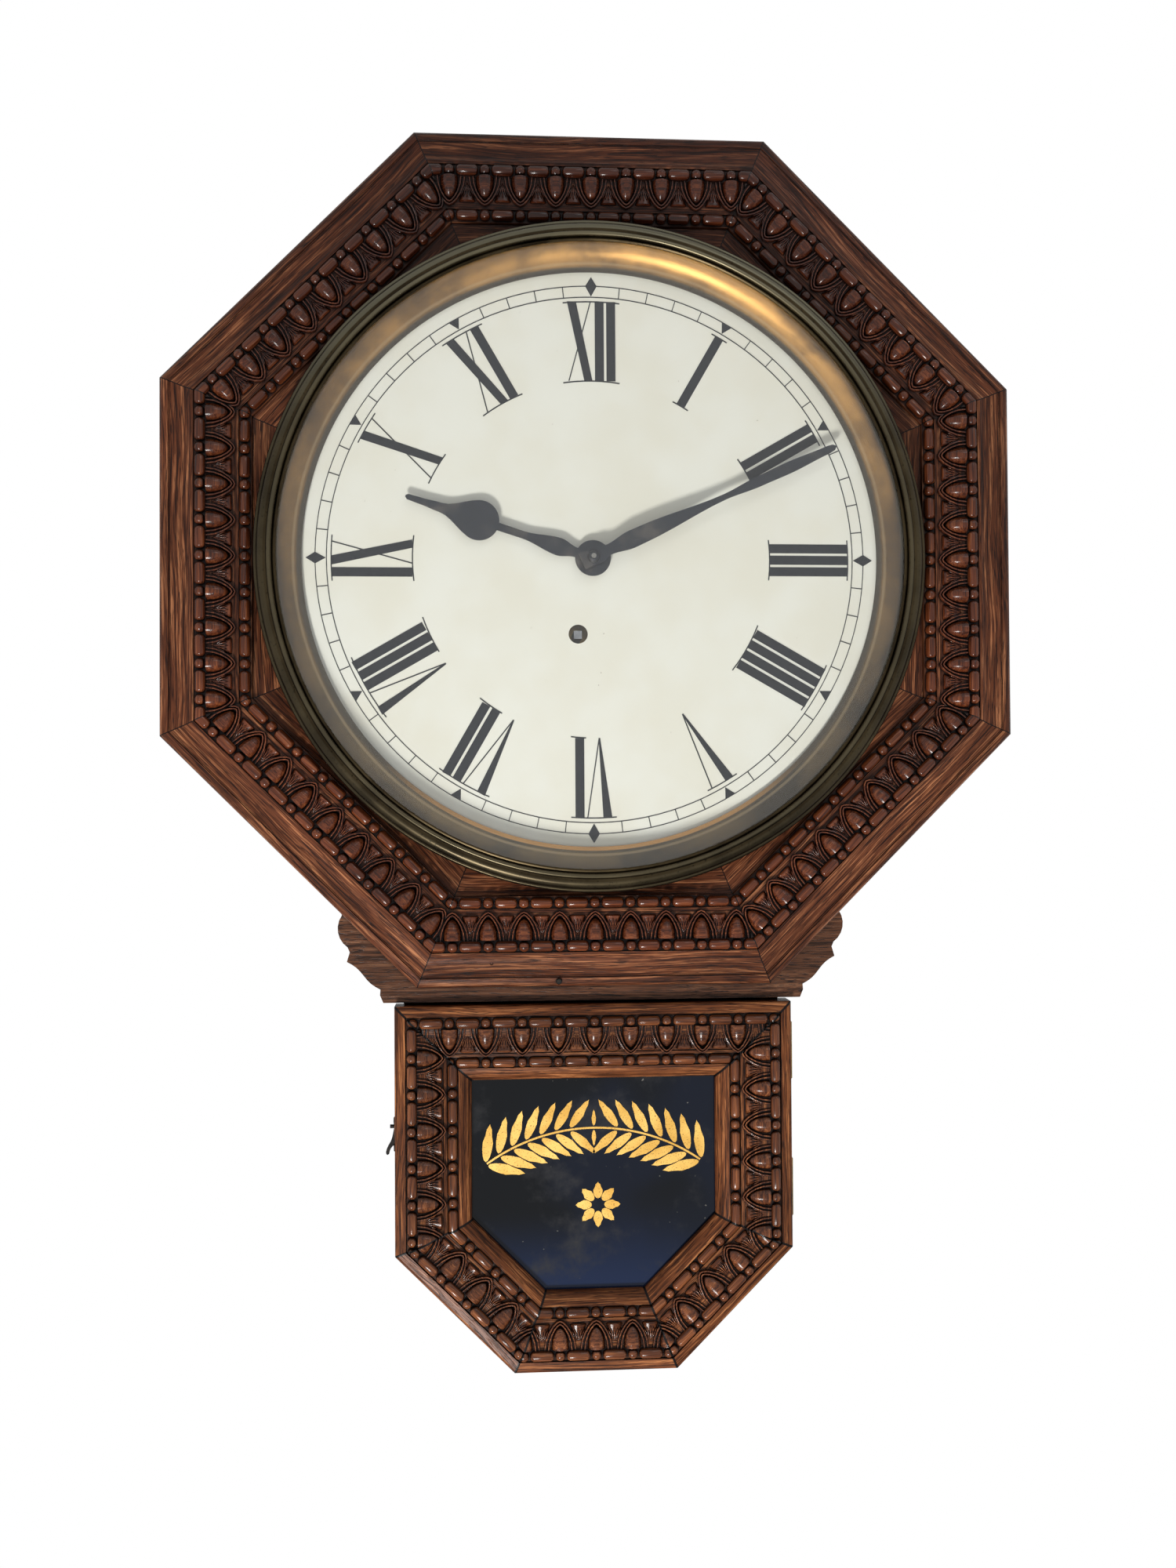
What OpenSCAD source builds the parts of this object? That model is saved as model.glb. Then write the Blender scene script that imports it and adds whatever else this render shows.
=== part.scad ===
// Drop-octagon wall regulator clock: eight-day, time only, pressed-oak case.
// Millimetres. +Z is up and the clock faces -Y. The origin is where the hand
// arbor's axis meets the wall, so the backboard's back face is the plane y = 0.
// A depth is a distance in front of the wall, so a depth of 90 lies at y = -90.

/* [Head] */
// Width of the octagonal head across its flats
head_w = 444; // [436:1:460]
// Height of the head's outer edge above its back face
head_edge_h = 12; // [10:0.5:14]
// Height of the flat that the dial and the bezel lie on, above the back face
head_flat_h = 9; // [7:0.5:10]
// Width of the plain outer zone of the head moulding
head_rim_w = 18; // [16:0.5:20]
// Width of the outer bead row of the head moulding
head_bead_w = 6.4; // [5:0.2:7]
// Width of the egg row of the head moulding
head_egg_w = 14; // [12:0.5:15]
// Width of the inner bead row of the head moulding
head_inner_bead_w = 6.4; // [5:0.2:7]
// Width of the flat between the inner bead row and the bezel
bezel_margin = 4.6; // [4:0.1:5.6]

/* [Moulding] */
// Width of the small fillet between the egg row and the inner bead row
fillet_w = 1.6; // [1:0.2:2.4]
// Rise of a bead row above its ground
bead_h = 3; // [2:0.25:3.5]
// Rise of the egg row above its ground
egg_h = 4.6; // [3:0.2:5.4]
// Rise of the ground from the outer edge to the outer bead row
rim_rise = 4.2; // [2:0.2:5]
// Fall of the ground from the outer bead row to the inner bead row
ground_fall = 3; // [1:0.25:4]

/* [Case] */
// Depth of the upper case from the wall to the head's back face
case_d = 90; // [86:1:100]
// Depth by which the drop and its boards are shallower than the upper case
drop_set_back = 10; // [8:0.5:12]
// Thickness of the backboard
back_t = 12; // [9:0.5:14]
// Thickness of the case boards
board_t = 10; // [8:0.5:12]
// Width of the upper case
case_w = 300; // [294:1:304]
// Height of the upper case's top above the hand axis
case_top_z = 150; // [147:1:152]
// Depth below the hand axis where the upper case turns into its shoulders
shoulder_z = 110; // [108:1:114]
// Depth below the hand axis where the shoulders meet the drop
drop_start_z = 200; // [196:1:206]
// How far the drop's boards stand in from the door's edge
door_overhang = 4; // [3:0.25:6]

/* [Apron] */
// How far the apron shows below the head
apron_show = 9; // [8:0.25:9.5]
// Half the width of the apron's lower edge
apron_foot_w = 110; // [107:0.5:114]
// Radius of the apron's round lobe
lobe_r = 12; // [10:0.5:13]

/* [Door] */
// Width of the lower door
door_w = 208; // [204:1:214]
// Gap between the apron's lower edge and the door
door_gap = 1.5; // [1:0.25:4]
// Drop and inward run of the door's slanted corners
door_cut = 61.5; // [58:0.5:65]
// Height of the door's outer edge above its back face
door_edge_h = 15; // [13:0.5:16]
// Width of the plain rim of the door moulding
door_rim_w = 6.2; // [5:0.2:7]
// Width of the outer bead row of the door moulding
door_bead_w = 5.6; // [5:0.2:6.4]
// Width of the egg row of the door moulding
door_egg_w = 13.3; // [12:0.1:14]
// Width of the inner bead row of the door moulding
door_inner_bead_w = 6; // [5:0.2:6.4]
// Width of the sloping lip beside the glass
door_lip_w = 7; // [6:0.2:8]
// Rise of the door's ground from its edge to the outer bead row
door_rim_rise = 1.2; // [0.6:0.2:2]
// Thickness of the tablet glass
tablet_t = 2; // [1.6:0.1:2.4]
// Depth of the rebate that holds the tablet glass
rebate_h = 5; // [4.6:0.2:6]
// Width of the rebate that holds the tablet glass
rebate_w = 5; // [4.6:0.2:6]

/* [Dial] */
// Width of the dial sheet that the sight ring covers
dial_cover_w = 7; // [5:0.5:8]
// Width of the dial sheet's seat on the head, round the opening for the movement
dial_seat_w = 17; // [15:0.5:20]
// Thickness of the dial sheet
dial_t = 1; // [0.6:0.1:1.2]
// Thickness of the printed figures
print_t = 0.2; // [0.15:0.05:0.3]
// Width of the bare paper between the minute track and the sight ring
track_margin = 6.6; // [5.4:0.1:7.5]
// Width of the minute track
track_w = 5.8; // [5:0.1:6.2]
// Width of the track's two circles and of its ticks
line_w = 0.45; // [0.35:0.05:0.6]
// Gap between the hour figures and the minute track
figure_gap = 2.4; // [1.5:0.1:4]
// Height of the hour figures
figure_h = 41.7; // [38:0.5:42.5]
// Width of a figure's thick stroke
stroke_w = 4.7; // [4:0.1:5]
// Width of a figure's thin stroke
hair_w = 0.6; // [0.4:0.1:0.8]
// Gap between two strokes
stroke_gap = 1.35; // [1:0.05:1.6]
// Width of an X or a V
wide_w = 13.2; // [12:0.1:14]
// Radius of the winding hole
wind_hole_r = 5; // [4.6:0.1:5.5]

/* [Bezel] */
// Width of the sight ring, from the bezel's wall in to the open paper
sight_w = 14.2; // [13:0.1:16]
// Radius of the bezel bead's section
bezel_bead_r = 3; // [2.5:0.25:3.25]
// Thickness of the bezel's sheet brass
bezel_t = 1.6; // [1.2:0.1:1.8]
// Depth of the bezel from the dial flat to the crown of its bead
bezel_d = 20; // [19:0.25:21]
// Thickness of the bezel glass
glass_t = 2; // [1.6:0.1:2.4]

/* [Hands] */
// How far the minute hand reaches past the inner circle of the minute track
minute_over = 3.1; // [-1:0.1:4]
// How far the hour hand reaches past the feet of the figures
hour_over = 8.3; // [5:0.1:12]
// Thickness of the hands
hand_t = 1; // [0.8:0.1:1.2]
// Angle of the minute hand at rest, clockwise from twelve
minute_angle = 65.3; // [0:0.1:359]
// Angle of the hour hand at rest, clockwise from twelve
hour_angle = 288.1; // [0:0.1:359]
// Radius of the hour hand's hub
hour_hub_r = 9.3; // [8.5:0.1:10]

/* [Movement] */
// Half the width of the movement's plates
plate_half_w = 52; // [51:0.5:56]
// Height of the plates' top edge above the hand axis
plate_top_z = 60; // [58:0.5:64]
// Depth of the plates' bottom edge below the hand axis
plate_bottom_z = 84; // [83:0.5:90]
// Thickness of the movement's plates
plate_t = 2; // [1.6:0.1:2.4]
// Length of the feet that stand the movement off the backboard
foot_len = 26; // [25:0.5:28]
// Distance between the movement's plates
plate_gap = 32; // [32:0.5:33]
// Module of the main wheel and the centre pinion
main_module = 0.768; // [0.76:0.002:0.776]
// Module of the centre wheel, the third wheel and their pinions
train_module = 0.55; // [0.545:0.005:0.555]
// Module of the cannon pinion and the minute wheel
minute_module = 0.5; // [0.49:0.01:0.51]
// Radius of the escape wheel at its tooth tips
escape_r = 15; // [14:0.25:15.5]
// Radius of the train's arbors
arbor_r = 1.25; // [1:0.05:1.3]
// Radius of the pivots in the plates
pivot_r = 0.8; // [0.6:0.05:0.9]
// Clearance of a running fit, on the radius
run_gap = 0.05; // [0.03:0.01:0.08]
// Width across the winding square
square_w = 4.2; // [4:0.1:4.6]

/* [Pendulum] */
// Gap between the end of the pendulum's rod and the floor of the case
floor_gap = 21; // [16:1:30]
// Distance from the suspension down to the middle of the bob
pendulum_len = 379; // [374:1:382]
// Radius of the pendulum bob
bob_r = 38; // [34:0.5:39]
// Thickness of the pendulum bob
bob_t = 10; // [8:0.5:12]
// Radius of the pendulum rod
rod_r = 1.5; // [1.2:0.1:1.8]
// Height of the suspension and the verge above the hand axis
verge_z = 46; // [45.5:0.5:47]

/* [Hidden] */
$fn = 96;

// Gap between parts that move past each other
slide_gap = 0.3;
oak = [0.33, 0.16, 0.08];
dark_oak = [0.22, 0.10, 0.05];
brass = [0.72, 0.55, 0.30];
steel = [0.55, 0.56, 0.58];
blued = [0.13, 0.14, 0.18];

// Radii from the head's edge in to the dial, with the circle of the minute track and the figures' feet
head_half = head_w / 2;
head_mould_w = head_rim_w + head_bead_w + head_egg_w + fillet_w + head_inner_bead_w;
bezel_r = head_half - head_mould_w - bezel_margin;
bead_mid_r = bezel_r - bezel_bead_r;
bezel_wall_r = bead_mid_r - bezel_bead_r + 0.8;
bezel_inner_r = bezel_wall_r - bezel_t;
dial_open_r = bezel_inner_r - sight_w;
dial_r = dial_open_r + dial_cover_w;
head_bore_r = dial_r - dial_seat_w;
track_r = dial_open_r - track_margin - track_w;
figure_r = track_r - figure_gap - figure_h;

// Heights of the apron, the door and the pendulum; the drop is as long as the pendulum needs
apron_bottom_z = head_half + apron_show;
door_top_z = apron_bottom_z + door_gap;
bob_z = verge_z - pendulum_len;
rating_nut_h = 5;
rating_travel = 4;
rod_end_z = bob_z - bob_r - rating_nut_h - 3 * rating_travel;
drop_bottom_z = rod_end_z - floor_gap - board_t;

// Outlines of the head, the door and the case, anticlockwise as seen from the front
head_side = head_half * tan(22.5);
head_pts = [
    [-head_side, -head_half], [head_side, -head_half], [head_half, -head_side],
    [head_half, head_side], [head_side, head_half], [-head_side, head_half],
    [-head_half, head_side], [-head_half, -head_side]
];
door_half = door_w / 2;
door_side_z = drop_bottom_z - door_overhang + door_cut;
door_pts = [
    [-door_half + door_cut, door_side_z - door_cut], [door_half - door_cut, door_side_z - door_cut],
    [door_half, door_side_z], [door_half, -door_top_z],
    [-door_half, -door_top_z], [-door_half, door_side_z]
];
drop_half = door_half - door_overhang;
drop_turn = door_overhang * tan(22.5);
case_half = case_w / 2;
case_pts = [
    [-door_half + door_cut + drop_turn, drop_bottom_z], [door_half - door_cut - drop_turn, drop_bottom_z],
    [drop_half, door_side_z + drop_turn], [drop_half, -drop_start_z],
    [case_half, -shoulder_z], [case_half, case_top_z],
    [-case_half, case_top_z], [-case_half, -shoulder_z],
    [-drop_half, -drop_start_z], [-drop_half, door_side_z + drop_turn]
];

// Depths of the case and the door
drop_d = case_d - drop_set_back;
flat_d = case_d + head_flat_h;
door_back_d = drop_d + slide_gap;
door_frame_w = door_rim_w + door_bead_w + door_egg_w + fillet_w + door_inner_bead_w + door_lip_w;

// Depths of the dial, the bezel and the hands
dial_front_d = flat_d + dial_t;
print_front_d = dial_front_d + print_t;
bezel_back_d = flat_d + 1.5;
bezel_front_d = flat_d + bezel_d;
bead_mid_d = bezel_front_d - bezel_bead_r;
glass_back_d = bezel_front_d - 5;
glass_front_d = glass_back_d + glass_t;
hour_back_d = dial_front_d + 3;
minute_back_d = hour_back_d + 4;
nut_back_d = minute_back_d + hand_t;
nut_t = 2.6;
nut_base_r = 3.2;

// Bezel hinge
bezel_pin_r = 0.8;
bezel_knuckle_r = 2;
bezel_hinge_x = bezel_wall_r + 1 + bezel_knuckle_r;
bezel_hinge_d = flat_d + 11;
bezel_hinge_len = 30;
hinge_leaf_t = 1;
door_leaf_w = 11;
drop_leaf_w = 14;

// Door hinges
door_knuckle_r = 1.6;
door_pin_r = 0.7;
door_hinge_x = door_half + door_knuckle_r + slide_gap;
door_hinge_d = door_back_d;
door_hinge_len = 30;
door_hinge_inset = 28;

// Hook on the door's free side
hook_z = -door_top_z - 63;
hook_pivot_d = drop_d - 6;
hook_reach = 14;
hook_t = 1.4;
hook_gap = 0.8;
hook_x = -door_half - hook_gap - hook_t;
hook_pin_r = 1;
hook_screw_r = 1.2;

// Depths inside the movement
back_plate_d = back_t + foot_len;
work_d = back_plate_d + plate_t;
front_plate_d = work_d + plate_gap;
plate_front_d = front_plate_d + plate_t;
end_gap = 0.3;
main_wheel_d = work_d + 2.5;
wheel_t = 1.4;
main_wheel_t = 2.5;
ratchet_d = main_wheel_d + main_wheel_t + end_gap;
ratchet_t = 2;
spring_d = ratchet_d + ratchet_t + 0.8;
spring_w = 16;
third_wheel_d = work_d + 13.8;
escape_wheel_d = work_d + 20.8;
center_wheel_d = work_d + 27.2;
anchor_d = escape_wheel_d - 1;
anchor_t = 3.4;
cannon_d = plate_front_d + 1.3;
hour_wheel_d = cannon_d + wheel_t + 1.8;

// Places of the arbors, seen from the front
main_teeth = 96;
pinion_teeth = 8;
wheel_teeth = 72;
cannon_teeth = 12;
minute_teeth = 36;
minute_pinion_teeth = 10;
hour_teeth = 40;
escape_teeth = 36;
main_dir = 258.9;
third_dir = 30;
escape_dir = 150;
stud_dir = -30;
main_dist = main_module * (main_teeth + pinion_teeth) / 2;
train_dist = train_module * (wheel_teeth + pinion_teeth) / 2;
stud_dist = minute_module * (cannon_teeth + minute_teeth) / 2;
hour_module = 2 * stud_dist / (minute_pinion_teeth + hour_teeth);
function polar(r, a) = [r * cos(a), r * sin(a)];
main_pos = polar(main_dist, main_dir);
third_pos = polar(train_dist, third_dir);
escape_pos = third_pos + polar(train_dist, escape_dir);
stud_pos = polar(stud_dist, stud_dir);
verge_pos = [0, verge_z];
pillar_x = plate_half_w - 6;
pillar_r = 4;
pillar_neck_r = 2.5;
pillar_pts = [
    [-pillar_x, -plate_bottom_z + 7], [pillar_x, -plate_bottom_z + 7],
    [-pillar_x, plate_top_z - 7], [pillar_x, plate_top_z - 7]
];
cannon_r = 2.3;
hour_pipe_in_r = cannon_r + 0.08;
hour_pipe_r = 3.6;
stud_r = 1;
main_arbor_r = 2.8;
main_pivot_r = 2;
ratchet_r = 11;
ratchet_teeth = 16;
click_dir = main_dir + 150;
click_turn = 34.7;
click_len = 12;
click_pos = main_pos + polar(19, click_dir);
click_stud_r = 1;

// Pendulum
rod_d = back_t + 14;
nut_r = 5;
bob_gap = 0.08;

// Hanger
hanger_w = 28;
hanger_t = 2;
hanger_hole_z = case_top_z + 18;
hanger_hole_r = 4;
steady_hole_r = 2.5;
steady_hole_z = drop_bottom_z + 26;

// A flat piece drawn as seen from the front, from one depth forward
module plate(from_d, t) {
    rotate([90, 0, 0])
        translate([0, 0, from_d])
            linear_extrude(t)
                children();
}

// A turned piece on an axis that runs forward, its outline in [radius, depth]
module turned(pts, at = [0, 0]) {
    translate([at[0], 0, at[1]])
        rotate([90, 0, 0])
            rotate_extrude()
                polygon(pts);
}

// A round bar that runs forward
module bar(at, r, from_d, t) {
    translate([at[0], -from_d, at[1]])
        rotate([90, 0, 0])
            cylinder(r = r, h = t);
}

// The point at corner i of an outline, moved in from both its edges by a distance
function inset(pts, i, t) =
    let (n = len(pts), p = pts[i % n])
    let (a = p - pts[(i + n - 1) % n], b = pts[(i + 1) % n] - p)
    let (ua = a / norm(a), ub = b / norm(b))
    let (na = [-ua[1], ua[0]], nb = [-ub[1], ub[0]])
    p + t * (na + nb) / (1 + na * nb);
function inset_all(pts, t) = [for (i = [0:len(pts) - 1]) inset(pts, i, t)];

// The four corners of the mitred strip along edge i of an outline
function strip(pts, i, t, from = 0) =
    [inset(pts, i, from), inset(pts, i + 1, from), inset(pts, i + 1, t), inset(pts, i, t)];

// A case board along edge i of the case outline
module board(i, t_d) {
    plate(back_t, t_d - back_t) polygon(strip(case_pts, i, board_t));
}

// Half of an ellipse, as points from one foot to the other
function arch(u, w, v, h, steps = 6) =
    [for (k = [0:steps]) let (a = 180 - 180 * k / steps) [u + w / 2 + w / 2 * cos(a), v + h * sin(a)]];

// Section of the carved moulding up to its inner bead row, in [inward, forward]
function moulding(edge, rim, rise, bead, egg, inner) =
    let (u1 = rim + bead, u2 = u1 + egg, u3 = u2 + fillet_w)
    let (g = edge + rise, low = g - ground_fall)
    concat(
        [[0, 0], [0, edge], [rim * 0.12, edge + 0.4 * rise], [rim * 0.6, edge + 0.55 * rise],
         [rim * 0.9, g]],
        arch(rim, bead, g, bead_h),
        [for (k = [1:7])
            let (s = k / 8)
            [u1 + egg * s, g + (low - g) * s + egg_h * sin(180 * s)]],
        [[u2, low], [u3, low]],
        arch(u3, inner, low, bead_h)
    );
head_stave_w = head_half - head_bore_r * cos(22.5) + 2;
head_section = concat(
    moulding(head_edge_h, head_rim_w, rim_rise, head_bead_w, head_egg_w, head_inner_bead_w),
    [[head_mould_w + 0.6, head_flat_h], [head_stave_w, head_flat_h], [head_stave_w, 0]]
);
door_mould_w = door_frame_w - door_lip_w;
door_section = concat(
    moulding(door_edge_h, door_rim_w, door_rim_rise, door_bead_w, door_egg_w, door_inner_bead_w),
    [[door_mould_w + 2, door_edge_h - 2.5], [door_frame_w - 0.6, rebate_h + 3.5],
     [door_frame_w, rebate_h + 2.5], [door_frame_w, rebate_h],
     [door_frame_w - rebate_w, rebate_h], [door_frame_w - rebate_w, 0]]
);

// A moulded length along edge i of an outline, cut to its two mitres
module stave(pts, i, section, w, from_d, h) {
    p = pts[i];
    q = pts[(i + 1) % len(pts)];
    edge = q - p;
    turn = atan2(edge[1], edge[0]);
    intersection() {
        translate([p[0], -from_d, p[1]])
            rotate([0, -turn, 0])
                rotate([90, 0, 90])
                    linear_extrude(norm(edge))
                        polygon([for (s = section) [-s[1], s[0]]]);
        plate(from_d - 1, h + 2) polygon(strip(pts, i, w));
    }
}

// One of the head's eight staves, with its share of the round opening
module head_stave(i) {
    difference() {
        stave(head_pts, i, head_section, head_stave_w, case_d, head_edge_h + 14);
        bar([0, 0], head_bore_r, case_d - 1, head_edge_h);
    }
}

module door_piece(i) {
    stave(door_pts, i, door_section, door_frame_w, door_back_d, door_edge_h + 10);
}

module backboard() {
    color(dark_oak)
        difference() {
            plate(0, back_t) polygon(case_pts);
            plate(-1, 1 + hanger_t + 0.1)
                translate([-hanger_w / 2 - 0.2, case_top_z - 24])
                    square([hanger_w + 0.4, 30]);
            bar([0, steady_hole_z], steady_hole_r, -1, back_t + 2);
        }
}

module case_top() {
    color(oak) board(5, case_d);
}

module case_sides() {
    color(oak) {
        board(4, case_d);
        board(6, case_d);
    }
}

module shoulders() {
    color(oak) {
        board(3, drop_d);
        board(7, drop_d);
    }
}

module drop_sides() {
    color(oak) {
        board(2, drop_d);
        board(8, drop_d);
    }
}

module drop_slants() {
    color(oak) {
        board(1, drop_d);
        board(9, drop_d);
    }
}

module drop_bottom() {
    color(oak) board(0, drop_d);
}

// Right half of the apron's ear: its foot, a shallow ogee up to the beak, and the round lobe
lobe_mid = [apron_foot_w + 11.5, -apron_bottom_z + 39];
beak = [apron_foot_w + 18.8, -apron_bottom_z + 21.6];
foot_top = [apron_foot_w + 1.5, -apron_bottom_z + 7];
ogee_run = beak - foot_top;
ogee_bend = 0.8 * [-ogee_run[1], ogee_run[0]] / norm(ogee_run);
ear_pts = concat(
    [[apron_foot_w, -apron_bottom_z], [apron_foot_w + 1.7, -apron_bottom_z + 4]],
    [for (t = [0:0.125:1]) foot_top + t * ogee_run - sin(360 * t) * ogee_bend],
    [beak + [-1.5, 5]],
    [for (a = [-55:15:35]) lobe_mid + lobe_r * [cos(a), sin(a)]],
    [[case_half - 1, -shoulder_z - 1]]
);

module apron() {
    color(oak)
        plate(drop_d, drop_set_back)
            polygon(concat(
                ear_pts,
                [for (k = [len(ear_pts) - 1:-1:0]) [-ear_pts[k][0], ear_pts[k][1]]]
            ));
}

module head_stave_bottom() {
    color(oak) head_stave(0);
}

module head_stave_lower_right() {
    color(oak) head_stave(1);
}

module head_stave_right() {
    color(oak) head_stave(2);
}

module head_stave_upper_right() {
    color(oak) head_stave(3);
}

module head_stave_top() {
    color(oak) head_stave(4);
}

module head_stave_upper_left() {
    color(oak) head_stave(5);
}

module head_stave_left() {
    color(oak) head_stave(6);
}

module head_stave_lower_left() {
    color(oak) head_stave(7);
}

// Steel plate let into the back of the case, with the hole that the clock hangs by
screw_r = 1.1;
screw_head_r = 2.4;
screw_head_t = 0.8;
screw_len = 7;
hanger_screw_z = [case_top_z - 17, case_top_z - 7];

module hanger_plate() {
    top = hanger_hole_z + hanger_w / 2;
    color(steel)
        difference() {
            union() {
                plate(0, hanger_t)
                    translate([-hanger_w / 2, case_top_z - 23.8])
                        square([hanger_w, hanger_hole_z - case_top_z + 23.8]);
                bar([0, hanger_hole_z], hanger_w / 2, 0, hanger_t);
            }
            bar([0, hanger_hole_z], hanger_hole_r, -1, hanger_t + 2);
            for (z = hanger_screw_z) bar([0, z], screw_head_r + 0.2, -1, hanger_t + 2);
        }
}

// Screws of the dial and of the hanger plate
dial_screw_r = dial_r - 3.4;
dial_screw_dirs = [45, 135, 225, 315];

module case_screws() {
    color(brass) {
        for (a = dial_screw_dirs) {
            bar(polar(dial_screw_r, a), screw_r, dial_front_d - screw_len, screw_len + 0.1);
            bar(polar(dial_screw_r, a), screw_head_r, dial_front_d, screw_head_t);
        }
        for (z = hanger_screw_z) {
            bar([0, z], screw_head_r, 0.4, hanger_t - 0.3);
            bar([0, z], screw_r, 1, screw_len);
        }
    }
}

// Bezel hinge: the fixed leaf lies on the head's flat, with two knuckles and the pin
knuckle_len = bezel_hinge_len / 3;

module upright(x, d, z, r, h) {
    translate([x, -d, z]) cylinder(r = r, h = h);
}

module bezel_hinge_plate() {
    x = bezel_hinge_x;
    half = bezel_hinge_len / 2;
    color(brass) {
        for (z = [-half, half - knuckle_len])
            difference() {
                union() {
                    upright(x, bezel_hinge_d, z, bezel_knuckle_r, knuckle_len);
                    translate([x + 0.6, -bezel_hinge_d, z])
                        cube([hinge_leaf_t, bezel_hinge_d - flat_d - 0.2, knuckle_len]);
                }
                upright(x, bezel_hinge_d, z - 1, bezel_pin_r + run_gap, knuckle_len + 2);
            }
        translate([x - 0.9, -flat_d - hinge_leaf_t, -half])
            cube([5.5, hinge_leaf_t, bezel_hinge_len]);
        upright(x, bezel_hinge_d, -half - 0.5, bezel_pin_r, bezel_hinge_len + 1);
        upright(x, bezel_hinge_d, half, bezel_knuckle_r * 0.8, 0.5);
        upright(x, bezel_hinge_d, -half - 0.5, bezel_knuckle_r * 0.8, 0.5);
    }
}

module bezel_hinge_leaf() {
    x = bezel_hinge_x;
    len = knuckle_len - 2 * slide_gap;
    color(brass)
        difference() {
            union() {
                upright(x, bezel_hinge_d, -len / 2, bezel_knuckle_r, len);
                translate([bezel_wall_r + 0.02, -bezel_hinge_d - 1.2, -len / 2])
                    cube([1.8, 2.4, len]);
                translate([bezel_wall_r + 0.02, -bezel_hinge_d - 1.5, -len / 2])
                    cube([0.8, 8, len]);
            }
            upright(x, bezel_hinge_d, -len, bezel_pin_r + run_gap, 2 * len);
        }
}

// The bezel: a spun brass ring with a round bead, a wall behind it and a lip over the glass
lip_r = bezel_inner_r - 3;

module bezel_ring() {
    color(brass)
        turned(concat(
            [[bezel_inner_r, bezel_back_d], [bezel_inner_r, glass_front_d + 0.1],
             [lip_r, glass_front_d + 0.1], [lip_r, glass_front_d + 1],
             [bezel_inner_r - 0.6, glass_front_d + 1.6]],
            [for (a = [150:-15:-75])
                [bead_mid_r + bezel_bead_r * cos(a), bead_mid_d + bezel_bead_r * sin(a)]],
            [[bezel_wall_r, bead_mid_d - bezel_bead_r * 0.95], [bezel_wall_r, bezel_back_d]]
        ));
}

// The sight ring: a spun brass cove from the dial out to the glass
sight_t = 0.8;
sight_out_r = bezel_inner_r - 0.1;
sight_back_d = print_front_d + 0.8;
sight_front_d = glass_back_d - 0.1;

module sight_ring() {
    depth = sight_front_d - sight_back_d;
    run = sight_out_r - dial_open_r - sight_t;
    color(brass)
        turned(concat(
            [for (k = [0:10])
                let (a = 9 * k)
                [dial_open_r + sight_t + run * sin(a), sight_back_d + depth * (1 - cos(a))]],
            [for (k = [10:-1:0])
                let (a = 9 * k)
                [dial_open_r + run * sin(a), sight_back_d + sight_t + (depth - sight_t) * (1 - cos(a))]]
        ));
}

module bezel_glass() {
    color([0.85, 0.92, 0.9, 0.3])
        bar([0, 0], bezel_inner_r - 0.1, glass_back_d, glass_t);
}

// The dial: a sheet disc with its holes, and the printed figures as a thin layer
module dial_pan() {
    color([0.93, 0.91, 0.84])
        difference() {
            bar([0, 0], dial_r, flat_d, dial_t);
            bar([0, 0], hour_pipe_r + 1.4, flat_d - 1, dial_t + 2);
            bar(main_pos, wind_hole_r, flat_d - 1, dial_t + 2);
            for (a = dial_screw_dirs) bar(polar(dial_screw_r, a), screw_r + 0.05, flat_d - 1, dial_t + 2);
        }
}

figure_top = figure_r + figure_h;

module stroke(x0, x1, w0, w1) {
    polygon([[x0, figure_r], [x0 + w0, figure_r], [x1 + w1, figure_top], [x1, figure_top]]);
}

module figure_x(x) {
    stroke(x + wide_w - stroke_w * 0.9, x, stroke_w * 0.9, stroke_w);
    stroke(x + hair_w, x + wide_w - 2 * hair_w, hair_w, hair_w);
}

module figure_v(x) {
    stroke(x + wide_w / 2 - 0.4, x, 0.8, stroke_w);
    stroke(x + wide_w / 2 - 0.2, x + wide_w - hair_w, hair_w, hair_w);
}

function glyph_w(c) = c == "I" ? stroke_w : wide_w;
function text_w(s, n) = n == 0 ? 0 : text_w(s, n - 1) + glyph_w(s[n - 1]) + (n > 1 ? stroke_gap : 0);

// A figure's fine arc at radius r, from one angle to the other, measured from straight up
module serif(r, x0, x1) {
    intersection() {
        difference() {
            circle(r = r + hair_w / 2);
            circle(r = r - hair_w / 2);
        }
        polygon([[0, 0], [2 * x0, 2 * r], [2 * x1, 2 * r]]);
    }
}

// One hour figure, its feet towards the centre; a serif skips the points of a V
module figure(s) {
    n = len(s);
    w = text_w(s, n);
    over = 2.3;
    v_first = s[0] == "V";
    v_last = s[n - 1] == "V";
    foot_l = v_first ? (n > 1 ? -w / 2 + wide_w + stroke_gap - 1 : 0) : -w / 2 - over;
    foot_r = v_last ? 0 : w / 2 + over;
    for (i = [0:n - 1]) {
        x = -w / 2 + text_w(s, i) + (i > 0 ? stroke_gap : 0);
        if (s[i] == "I") stroke(x, x, stroke_w, stroke_w);
        if (s[i] == "X") figure_x(x);
        if (s[i] == "V") figure_v(x);
    }
    serif(figure_top, (-w / 2 - over), (w / 2 + over));
    if (foot_r > foot_l) serif(figure_r, foot_l, foot_r);
}

figures = ["I", "II", "III", "IIII", "V", "VI", "VII", "VIII", "IX", "X", "XI", "XII"];

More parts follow.
